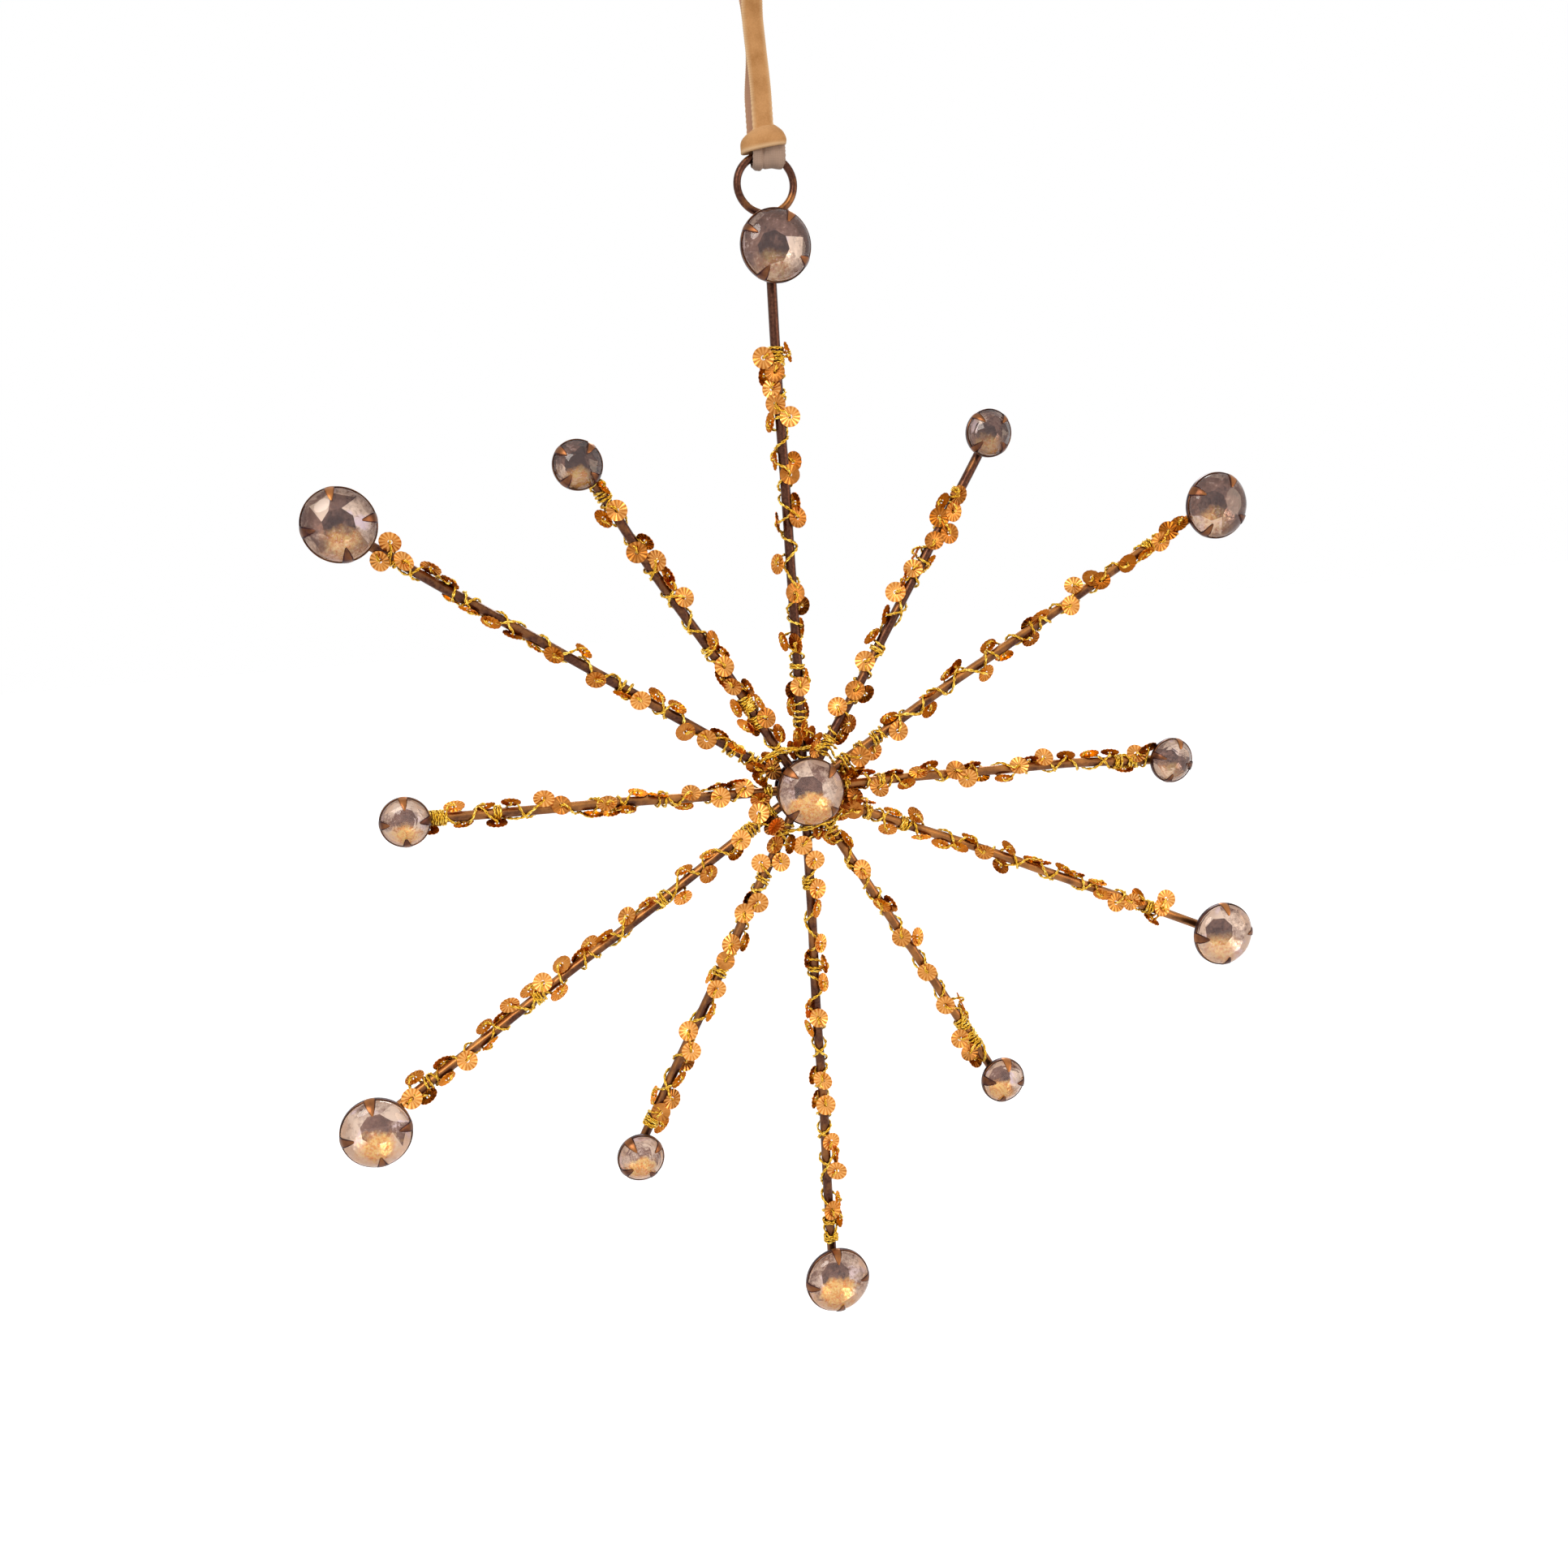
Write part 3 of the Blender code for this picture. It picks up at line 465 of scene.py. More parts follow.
@dataclass(frozen=True)
class VelvetPile(Finish):
    """Short cut viscose pile of a velvet ribbon: matt and deep, paler where the pile leans to the light."""

    name: str = "Gold-brown velvet pile"
    shade: str = "#B5804C"
    pile: str = "#D6A06A"
    lit: str = "#F0CDA2"
    sheen: str = "#F3D9B4"

    def surface(self, add: Adder) -> dict:
        """Add the finish's own nodes.

        Args:
            add: Adds a node to the finish's tree.

        Returns:
            What feeds the shader. Tufts are 0.25 mm apart, and brushed patches a few millimetres wide.
        """
        place = add(PLACE).outputs["Object"]
        edge = add(ATTRIBUTE, attribute_name="edge").outputs["Fac"]
        tufts = add(NOISE, {"Vector": place, "Scale": 4000.0, "Detail": 3.0})
        brushed = add(NOISE, {"Vector": place, "Scale": 260.0, "Detail": 3.0})
        leaning = add(MATH, {0: tufts, 1: 0.5, 2: brushed}, operation="MULTIPLY_ADD")
        level = add(RAMP, {"Value": leaning, "From Min": 0.50, "From Max": 0.95})
        pile = add(MIX, {0: level, 6: self.shade, 7: self.pile}, data_type="RGBA")
        colour = add(MIX, {0: edge, 6: pile, 7: self.lit}, data_type="RGBA")
        bump = add(BUMP, {"Strength": 0.9, "Distance": 0.12 * MM, "Height": leaning})
        sheen = {"Sheen Weight": 0.55, "Sheen Roughness": 0.40, "Sheen Tint": self.sheen}
        return {"Base Color": colour, "Normal": bump, "Roughness": 0.95, "Specular IOR Level": 0.15, **sheen}


@dataclass(frozen=True)
class RibbonBack(Finish):
    """Woven back of a velvet ribbon: plain weave, pinker than the pile, with a slight lustre."""

    name: str = "Woven ribbon back"
    weft: str = "#C2977A"
    warp: str = "#D8B094"

    def surface(self, add: Adder) -> dict:
        """Add the finish's own nodes.

        Args:
            add: Adds a node to the finish's tree.

        Returns:
            What feeds the shader. The UV map runs across and along the ribbon, in millimetres.
        """
        # Threads 0.3 mm apart both ways, about twice as coarse as real so that they show.
        threads = {"Vector": add(UV_MAP), "Scale": 1.05, "Distortion": 0.4}
        across, lengthways = (add(WAVE, threads, bands_direction=way).outputs["Fac"] for way in "XY")
        weave = add(MATH, {0: across, 1: lengthways}, operation="MULTIPLY")
        colour = add(MIX, {0: weave, 6: self.weft, 7: self.warp}, data_type="RGBA")
        bump = add(BUMP, {"Strength": 0.25, "Distance": 0.04 * MM, "Height": weave})
        sheen = {"Sheen Weight": 0.2, "Sheen Roughness": 0.5}
        return {"Base Color": colour, "Normal": bump, "Roughness": 0.75, **sheen}


@dataclass(frozen=True)
class FloorPaint(Finish):
    """Matt pale paint of the studio's floor, which shows as white and keeps the object's shadow."""

    name: str = "Pale floor paint"

    def surface(self, add: Adder) -> dict:
        """Return what feeds the shader."""
        glow = add(RAMP, {"Value": seen_directly(add), "To Min": 0.0, "To Max": 0.75})
        return {"Base Color": "#F2F2F2", "Roughness": 0.9, "Emission Color": "#FFFFFF", "Emission Strength": glow}


ROD_BRONZE = BrownedBronze("Browned bronze wire", "#45291F", "#5C3A2C", "#D28C48", 0.30, 0.02)
CUP_BRONZE = BrownedBronze("Dark bronze sheet", "#2E1A1C", "#42282A", "#C07C44", 0.30, 0.01)
GLASS = PressedGlass()
FOIL = StoneFoil()
LUREX_FILM = GoldThread()
SEQUIN_FILM = CopperSequin()
VELVET = VelvetPile()
# Painted light and shade: the woven back comes in a lit copy, and in a darker copy for the tongue, where it hangs in
# shade.
RIBBON_BACK = RibbonBack()
SHADED_RIBBON_BACK = RibbonBack("Woven ribbon back, greyed by the wire", "#A68A78", "#BCA08C")


# Making and fixing pieces


def new_object(name: str, mesh: bpy.types.Mesh) -> bpy.types.Object:
    """Make an object at the origin that shows a mesh.

    Args:
        name: Name of the object.
        mesh: The mesh.

    Returns:
        The object.
    """
    piece = bpy.data.objects.new(name, mesh)
    bpy.context.scene.collection.objects.link(piece)
    return piece


def fix_piece(
    name: str, mesh: bpy.types.Mesh, nodes: Sequence[str] = (), finishes: Sequence[Finish] = (),
    body: Optional[str] = "star",
) -> bpy.types.Object:
    """Make a finished piece of a mesh and fix it to its CAD body.

    Args:
        name: Name of the piece.
        mesh: Its mesh, in the CAD frame.
        nodes: CAD nodes that the piece stands for.
        finishes: Finishes for the mesh's material numbers, unless it has its own.
        body: CAD body it rides on, or None for a piece fixed to none.

    Returns:
        The piece.
    """
    for finish in finishes:
        mesh.materials.append(finish.material)
    piece = new_object(name, mesh)
    if body is not None:
        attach(piece, body)
    if nodes:
        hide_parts(*nodes)
    LOG.info("%s: %d faces", name, len(mesh.polygons))
    return piece


def set_attribute(mesh: bpy.types.Mesh, name: str, values: Sequence[float], domain: str = "POINT") -> None:
    """Store a number for each point or face of a mesh."""
    mesh.attributes.new(name, "FLOAT", domain).data.foreach_set("value", list(values))


def set_vectors(mesh: bpy.types.Mesh, name: str, values: Sequence[Sequence[float]]) -> None:
    """Store three numbers for each point of a mesh."""
    mesh.attributes.new(name, "FLOAT_VECTOR", "POINT").data.foreach_set("vector", [v for row in values for v in row])


def smooth_step(share: float) -> float:
    """Return a share eased at both ends and held between 0 and 1."""
    held = max(0.0, min(1.0, share))
    return held * held * (3 - 2 * held)


def smooth_line(points: Sequence[Vector], spacing: float = 0.0004) -> list[Vector]:
    """Return points on a Catmull-Rom line through others.

    Args:
        points: The others, two or more.
        spacing: About how far apart the line's points are.

    Returns:
        The line's points.
    """
    padded = [2 * points[0] - points[1], *points, 2 * points[-1] - points[-2]]
    line = []
    for a, b, c, d in zip(padded, padded[1:], padded[2:], padded[3:]):
        steps = max(1, round((c - b).length / spacing))
        for t in (step / steps for step in range(steps)):
            line.append(
                0.5 * (2 * b + (c - a) * t + (2 * a - 5 * b + 4 * c - d) * t * t + (3 * b - a - 3 * c + d) * t ** 3)
            )
    return line + [points[-1].copy()]


def line_mesh(points: Sequence[Vector], closed: bool = False) -> bpy.types.Mesh:
    """Return a mesh of edges only that joins points in order.

    Args:
        points: The points.
        closed: Whether the last point joins the first.

    Returns:
        The mesh.
    """
    count = len(points)
    edges = [(i, (i + 1) % count) for i in range(count if closed else count - 1)]
    mesh = bpy.data.meshes.new("line")
    mesh.from_pydata([tuple(point) for point in points], edges, [])
    return mesh


def join_rings(bm: bmesh.types.BMesh, one: Sequence[Any], two: Sequence[Any], closed: bool = True) -> list[Any]:
    """Add the faces between two rings of points.

    Args:
        bm: The mesh that holds the points.
        one: The first ring. A ring of one point is a pole.
        two: The second ring.
        closed: Whether the rings close, or are rows.

    Returns:
        The faces, in order.
    """
    count = max(len(one), len(two))
    faces = []
    for i in range(count if closed else count - 1):
        j = (i + 1) % count
        corners = (one[i % len(one)], one[j % len(one)], two[j % len(two)], two[i % len(two)])
        faces.append(bm.faces.new(tuple(dict.fromkeys(corners))))
    return faces


def level_circle(count: int, radius: float, height: float, shift: float = 0.0) -> list[Vector]:
    """Return points on a level circle, turned by a share of a step."""
    angles = [math.tau * (i + shift) / count for i in range(count)]
    return [Vector((radius * math.cos(a), radius * math.sin(a), height)) for a in angles]


def mesh_of(bm: bmesh.types.BMesh, name: str, crease: Optional[float] = None) -> bpy.types.Mesh:
    """Turn a bmesh into a mesh with its faces outwards, and free it.

    Args:
        bm: The bmesh.
        name: Name of the mesh.
        crease: Degrees that an edge turns before it shows as sharp, or None for flat faces.

    Returns:
        The mesh.
    """
    bmesh.ops.recalc_face_normals(bm, faces=bm.faces)
    mesh = bpy.data.meshes.new(name)
    bm.to_mesh(mesh)
    bm.free()
    return mesh if crease is None else shade(mesh, crease)


def shade(mesh: bpy.types.Mesh, crease: float) -> bpy.types.Mesh:
    """Shade a mesh smooth.

    Args:
        mesh: The mesh.
        crease: Degrees that an edge turns before it shows as sharp.

    Returns:
        The mesh.
    """
    mesh.shade_smooth()
    mesh.set_sharp_from_angle(angle=math.radians(crease))
    return mesh


# Geometry Nodes

NAMED = "GeometryNodeInputNamedAttribute"
SPLINE = "GeometryNodeSplineParameter"
STORE = "GeometryNodeStoreNamedAttribute"


class NodeTool:
    """A Geometry Nodes tree with named inputs that is run on a guide mesh."""

    def __init__(self, name: str, **inputs: str) -> None:
        """Start the tree.

        Args:
            name: Name of the tree.
            **inputs: Each input's kind, such as Float or Material.
        """
        self.tree = bpy.data.node_groups.new(name, "GeometryNodeTree")
        self.add = partial(add_node, self.tree)
        self.keys = {}
        for label, kind in {"Guide": "Geometry", **inputs}.items():
            socket = self.tree.interface.new_socket(label, in_out="INPUT", socket_type=f"NodeSocket{kind}")
            self.keys[label] = socket.identifier
        self.tree.interface.new_socket("Mesh", in_out="OUTPUT", socket_type="NodeSocketGeometry")
        self.given = self.add("NodeGroupInput").outputs

    def close(self, geometry: bpy.types.Node) -> None:
        """End the tree: realize what it made and give it its finish.

        Args:
            geometry: The node that gives what the tree made.
        """
        real = self.add("GeometryNodeRealizeInstances", {"Geometry": geometry})
        dressed = self.add("GeometryNodeSetMaterial", {"Geometry": real, "Material": self.given["Finish"]})
        self.add("NodeGroupOutput", {"Mesh": dressed})

    def run(self, name: str, guide: bpy.types.Mesh, finish: Finish, **values: Any) -> bpy.types.Mesh:
        """Run the tree on a guide and return the plain mesh it makes.

        Args:
            name: Name of the mesh.
            guide: Mesh of points or edges that the tree starts from.
            finish: Finish of the mesh.
            **values: A value for each other named input.

        Returns:
            The mesh, with its material.
        """
        carrier = new_object(f"{name}_guide", guide)
        modifier = carrier.modifiers.new(self.tree.name, "NODES")
        modifier.node_group = self.tree
        for label, value in {**values, "Finish": finish.material}.items():
            modifier[self.keys[label]] = value
        bpy.context.view_layer.update()
        graph = bpy.context.evaluated_depsgraph_get()
        evaluated = carrier.evaluated_get(graph)
        mesh = bpy.data.meshes.new_from_object(evaluated, preserve_all_data_layers=True, depsgraph=graph)
        bpy.data.objects.remove(carrier)
        mesh.name = name
        return mesh


class WireTool(NodeTool):
    """Sweeps a wire, or the twisted plies of a thread, along a guide line."""

    def __init__(self, plies: int) -> None:
        """Build the tree.

        Args:
            plies: Number of plies: 1 for a wire.
        """
        sizes = dict.fromkeys(("Step", "Radius", "Offset", "Twist"), "Float")
        super().__init__(f"Wire of {plies} plies", **sizes, Sides="Int", Finish="Material")
        add, given = self.add, self.given
        line = add("GeometryNodeMeshToCurve", {"Mesh": given["Guide"]})
        even = add("GeometryNodeResampleCurve", {"Curve": line, "Length": given["Step"]}, mode="LENGTH")
        length = add(SPLINE).outputs["Length"]
        measured = add(STORE, {"Geometry": even, "Name": "along", "Value": length}, data_type="FLOAT")
        turns = add(MATH, {0: length, 1: given["Twist"]}, operation="DIVIDE")
        normal = add("GeometryNodeInputNormal")
        side = add(VECTORS, {0: add("GeometryNodeInputTangent"), 1: normal}, operation="CROSS_PRODUCT")
        section = add("GeometryNodeCurvePrimitiveCircle", {"Resolution": given["Sides"], "Radius": given["Radius"]})
        share = add(SPLINE).outputs["Factor"]
        ring = add(STORE, {"Geometry": section, "Name": "around", "Value": share}, data_type="FLOAT")
        joined = add("GeometryNodeJoinGeometry")
        for ply in range(plies):
            angle = add(MATH, {0: turns, 1: math.tau, 2: math.tau * ply / plies}, operation="MULTIPLY_ADD")
            one = add(VECTORS, {0: normal, "Scale": add(MATH, {0: angle}, operation="COSINE")}, operation="SCALE")
            two = add(VECTORS, {0: side, "Scale": add(MATH, {0: angle}, operation="SINE")}, operation="SCALE")
            way = add(VECTORS, {0: one, 1: two}, operation="ADD")
            step = add(VECTORS, {0: way, "Scale": given["Offset"]}, operation="SCALE")
            moved = add("GeometryNodeSetPosition", {"Geometry": measured, "Offset": step})
            swept = add("GeometryNodeCurveToMesh", {"Curve": moved, "Profile Curve": ring, "Fill Caps": True})
            plug(joined, {0: swept})
        # The UV map: millimetres round the ply, taken as 1 mm, and millimetres along it.
        around, metres = (add(NAMED, {"Name": name}, data_type="FLOAT") for name in ("around", "along"))
        millimetres = add(MATH, {0: metres, 1: 1000.0}, operation="MULTIPLY")
        uv = add("ShaderNodeCombineXYZ", {"X": around, "Y": millimetres})
        mapped = add(STORE, {"Geometry": joined, "Name": "UVMap", "Value": uv}, data_type="FLOAT2", domain="CORNER")
        self.close(add("GeometryNodeSetShadeSmooth", {"Geometry": mapped}))


class SequinTool(NodeTool):
    """Sets a sequin on each point of a guide, turned as the point's facing attribute says."""

    def __init__(self) -> None:
        """Build the tree."""
        sizes = {"Sequin": "Object", "Smallest": "Float", "Largest": "Float", "Seed": "Int"}
        super().__init__("Sequins on their seats", **sizes, Finish="Material")
        add, given = self.add, self.given
        sequin = add("GeometryNodeObjectInfo", {"Object": given["Sequin"], "As Instance": True}).outputs["Geometry"]
        facing = add(NAMED, {"Name": "facing"}, data_type="FLOAT_VECTOR")
        turn = add("FunctionNodeEulerToRotation", {"Euler": facing})
        limits = {2: given["Smallest"], 3: given["Largest"], "Seed": given["Seed"]}
        size = add("FunctionNodeRandomValue", limits, data_type="FLOAT")
        placing = {"Points": given["Guide"], "Instance": sequin, "Rotation": turn, "Scale": size}
        self.close(add("GeometryNodeInstanceOnPoints", placing))


# The ribbon

# How far the little loops of weft stand out from the ribbon's edges.
PICOT = 0.00010


def strap_mesh(name: str, path: Sequence[Vector], width: float, thickness: float, steps: int = 10) -> bpy.types.Mesh:
    """Return a flat ribbon along a path, with pile on its outer face and woven edges.

    Args:
        name: Name of the mesh.
        path: Points on the ribbon's middle line, in a plane across X.
        width: Width of the ribbon, along X.
        thickness: Thickness of the ribbon.
        steps: Number of strips across each face.

    Returns:
        A closed mesh. Material 0 is the pile and material 1 the woven back.
    """
    shares = [2 * i / steps - 1 for i in range(steps + 1)]
    section = [(u, 0.5 - 0.38 * abs(u) ** 5) for u in shares] + [(u, -0.42) for u in reversed(shares)]
    count = len(section)
    bm = bmesh.new()
    uv_layer = bm.loops.layers.uv.new("UVMap")
    edge_layer = bm.verts.layers.float.new("edge")
    rings = []
    travelled = [0.0, *accumulate((b - a).length for a, b in zip(path, path[1:]))]
    for i, point in enumerate(path):
        ahead = path[min(i + 1, len(path) - 1)] - path[max(i - 1, 0)]
        outward = RIGHT.cross(ahead).normalized()
        picot = PICOT if i % 2 else 0.0
        ring = []
        for u, height in section:
            out = u * width / 2 + (math.copysign(picot, u) if abs(u) > 0.99 else 0.0)
            vert = bm.verts.new(point + RIGHT * out + outward * (height * thickness))
            vert[edge_layer] = max(0.0, (abs(u) - 0.72) / 0.28) * (1.0 if i % 2 else 0.55)
            ring.append(vert)
        rings.append(ring)
    for i, (one, two) in enumerate(zip(rings, rings[1:])):
        for j, face in enumerate(join_rings(bm, one, two)):
            face.material_index = 0 if j <= steps or j == count - 1 else 1
            for loop, (column, row) in zip(face.loops, ((j, i), (j + 1, i), (j + 1, i + 1), (j, i + 1))):
                loop[uv_layer].uv = (section[column % count][0] * width / 2 / MM, travelled[row] / MM)
    for ring in (rings[0], rings[-1]):
        bm.faces.new(ring).material_index = 1
    return mesh_of(bm, name, 60)


@dataclass
class VelvetHanger:
    """The velvet ribbon: its loop over the hook, its two strands, and the hitch on the ring."""

    width: float = 0.0040
    thickness: float = 0.0006
    hook_radius: float = 0.0023
    spread: float = 0.0011
    close: float = 0.00076
    seam_height: float = -0.0262
    hitch_top: float = -0.0306
    wire_height: float = -0.0360
    fold_length: float = 0.0068
    band_length: float = 0.0047
    band_top: float = 0.0029
    band_flare: float = 0.00165
    tongue_aside: float = 0.0008
    tongue_bend: float = 0.00135
    tongue_rise: float = 0.0026
    tongue_width: float = 0.0064
    tongue_drop: float = 0.0026
    tongue_thickness: float = 0.0004
    opens_below: float = 0.0125
    parts_at: float = -0.0150
    back_right: float = 0.0004
    back_drift: float = 0.0011
    lean_left: float = 0.0007
    band_front: float = 0.0016
    band_back: float = 0.0010
    band_shift: float = 0.0007
    band_arch: float = 0.0011
    rolled_front: float = 0.00045
    rolled_back: float = 0.00040
    pleat_depth: float = 0.00010
    crumpled_above: float = 0.0014
    crease_left: float = 0.0012
    crease_depth: float = 0.00026

    def strand_offset(self, height: float) -> float:
        """Return how far a strand stands from the middle, front or back, at a height.

        Args:
            height: The height. The strands hang close together, open above to pass the hook, and part a
                little below at the hitch.

        Returns:
            The distance.
        """
        widest = self.hook_radius + self.thickness / 2
        above = smooth_step((height + self.opens_below) / (self.opens_below - self.hook_radius))
        below = smooth_step((self.parts_at - height) / (self.parts_at - self.seam_height))
        return self.close + (widest - self.close) * above + (self.spread - self.close) * below

    def back_shift(self, height: float) -> float:
        """Return how far the back strand hangs to the right of the front one at a height."""
        drift = self.back_right - self.back_drift * smooth_step((-0.0160 - height) / 0.0102)
        return drift * smooth_step((-0.0028 - height) / 0.0060)

    def lean(self, height: float) -> float:
        """Return how far the ribbon hangs to the left of the middle at a height, as in the photograph."""
        return -self.lean_left * smooth_step((height - self.seam_height) / 0.0190)

    def loop_path(self) -> list[Vector]:
        """Lead the ribbon over the hook.

        Returns:
            The loop's middle line, from the front strand's foot over the hook to the back one's.
        """
        widest = self.hook_radius + self.thickness / 2
        top = -self.hook_radius
        steps = 104
        rise = [self.seam_height + (top - self.seam_height) * i / steps for i in range(steps)]
        front = [Vector((self.lean(z), -self.strand_offset(z), z)) for z in rise]
        arc = [math.pi * i / 16 for i in range(17)]
        over = [Vector((self.lean(top), -widest * math.cos(a), top + widest * math.sin(a))) for a in arc]
        back = [Vector((at.x + self.back_shift(at.z), -at.y, at.z)) for at in reversed(front)]
        return front + over + back

    def fold_mesh(self) -> bpy.types.Mesh:
        """Make the two short strands that run down into the hitch.

        Returns:
            Their mesh.
        """
        bm = bmesh.new()
        bm.loops.layers.uv.new("UVMap")
        heights = [self.seam_height - self.fold_length * i / 14 for i in range(15)]
        for sign, ordered in ((-1, heights[::-1]), (1, heights)):
            aside = self.back_shift(self.seam_height) if sign > 0 else 0.0
            path = [Vector((aside, sign * self.spread, z)) for z in ordered]
            strap = strap_mesh("strand", path, self.width, self.thickness)
            bm.from_mesh(strap)
            bpy.data.meshes.remove(strap)
        return mesh_of(bm, "velvet_fold", 60)

    def band_mesh(self) -> bpy.types.Mesh:
        """Make the full, domed band that the ribbon forms round its own strands above the ring.

        Returns:
            The mesh. Its foot is wider than its top and hangs lower on the left, and its rim is rolled under.
        """
        rows = 26
        columns = 80
        bm = bmesh.new()
        bm.loops.layers.uv.new("UVMap")
        edge_layer = bm.verts.layers.float.new("edge")
        rings = []
        for share in (row / rows for row in range(rows + 1)):
            rolled = smooth_step((share - 0.88) / 0.12)
            flare = 1 - (1 - min(share / 0.75, 1.0)) ** 2.4
            fullness = math.sin(math.pi * min(0.5, share * 0.70))
            half = self.band_top + self.band_flare * flare - self.rolled_back * rolled
            front = self.spread + self.band_front * fullness - self.rolled_front * rolled
            back = self.spread + self.band_back * fullness - self.rolled_back * rolled
            middle = self.band_shift * (1 - share) ** 2
            height = self.hitch_top + 0.0002 - self.band_length * min(share, 0.94) / 0.94
            slope = 0.04 + 0.15 * share
            arch = self.band_arch * (1 - share) ** 2
            ring = []
            for angle in (math.tau * column / columns for column in range(columns)):
                cosine, sine = math.cos(angle), math.sin(angle)
                across = math.copysign(abs(cosine) ** 0.8, cosine)
                deep = math.copysign(abs(sine) ** 0.8, sine)
                # Soft pleats run round from the sides, where the ribbon is gathered.
                pleat = self.pleat_depth * math.sin(8 * share + 2.0 * cosine) * abs(cosine) ** 3
                x = (half + pleat) * across + middle
                y = (back if deep > 0 else front) * deep
                vert = bm.verts.new((x, y, height + slope * x - arch * across * across))
                vert[edge_layer] = 0.8 * smooth_step((share - 0.72) / 0.2) * (1 - rolled) + 0.25 * (1 - share) ** 3
                ring.append(vert)
            rings.append(ring)
        for above, below in zip(rings, rings[1:]):
            join_rings(bm, above, below)
        for ring, step in ((rings[0], -0.0003), (rings[-1], 0.0012)):
            inner = [bm.verts.new((v.co.x * 0.60, v.co.y * 0.55, v.co.z + step)) for v in ring]
            join_rings(bm, ring, inner)
            bm.faces.new(inner)
        return mesh_of(bm, "hitch_band", 70)

    def tongue_mesh(self) -> bpy.types.Mesh:
        """Make the part of the ribbon that goes round the ring's wire.

        Returns:
            Its mesh, woven side out and crumpled.
        """
        aside, bend, rise, wire = self.tongue_aside, self.tongue_bend, self.tongue_rise, self.wire_height
        drop = self.tongue_drop - 0.0002
        down = [Vector((aside, -bend, wire + rise - rise * i / 8)) for i in range(8)]
        arc = [math.pi * i / 18 for i in range(19)]
        under = [Vector((aside, -bend * math.cos(a), wire - drop * math.sin(a) ** 0.8)) for a in arc]
        up = [Vector((aside, bend, wire + rise * i / 8)) for i in range(1, 9)]
        mesh = strap_mesh("hitch_tongue", down + under + up, self.tongue_width, self.tongue_thickness, steps=44)
        for vert in mesh.vertices:
            x = vert.co.x - aside
            deep = max(0.0, (wire + self.crumpled_above - vert.co.z) / (self.tongue_drop + self.crumpled_above))
            outward = -1 if vert.co.y < 0 else 1
            # The left third hangs lowest, behind one sharp crease, and finer creases follow to the right.
            notch = 0.00022 * math.exp(-((x + self.crease_left) / 0.0004) ** 2)
            lobe = 0.00035 * smooth_step((-0.0010 - x) / 0.0006) - notch
            waves = 0.00009 * math.sin(x * 1700 + 0.4)
            corner = 0.0005 * smooth_step((abs(x) - 0.0026) / 0.0007)
            vert.co.z += deep * (-lobe + waves + corner)
            crease = self.crease_depth * math.exp(-((x + self.crease_left) / 0.00025) ** 2)
            fold = 0.00012 * math.sin(vert.co.z * 2600) * smooth_step((-self.crease_left - x) / 0.0004)
            vert.co.y += outward * (0.00012 * math.sin(x * 1900 + vert.co.z * 700) - crease + fold)
        for polygon in mesh.polygons:
            polygon.material_index = 1
        return mesh

    def build(self) -> None:
        """Make the ribbon's pieces; the loop and the fold are fixed to no body."""
        velvet = (VELVET, RIBBON_BACK)
        path = self.loop_path()
        strap = strap_mesh("velvet_loop", path, self.width, self.thickness)
        loop = fix_piece("velvet_loop", strap, ("ribbon_loop",), velvet, None)
        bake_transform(loop)
        fold = fix_piece("velvet_fold", self.fold_mesh(), ("ribbon_neck",), velvet, None)
        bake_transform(fold)
        band = fix_piece("hitch_band", self.band_mesh(), ("ribbon_hitch",), velvet, "hitch")
        tongue = fix_piece("hitch_tongue", self.tongue_mesh(), (), (VELVET, SHADED_RIBBON_BACK), "hitch")


# Rods and ring


ROD_SEED = 40


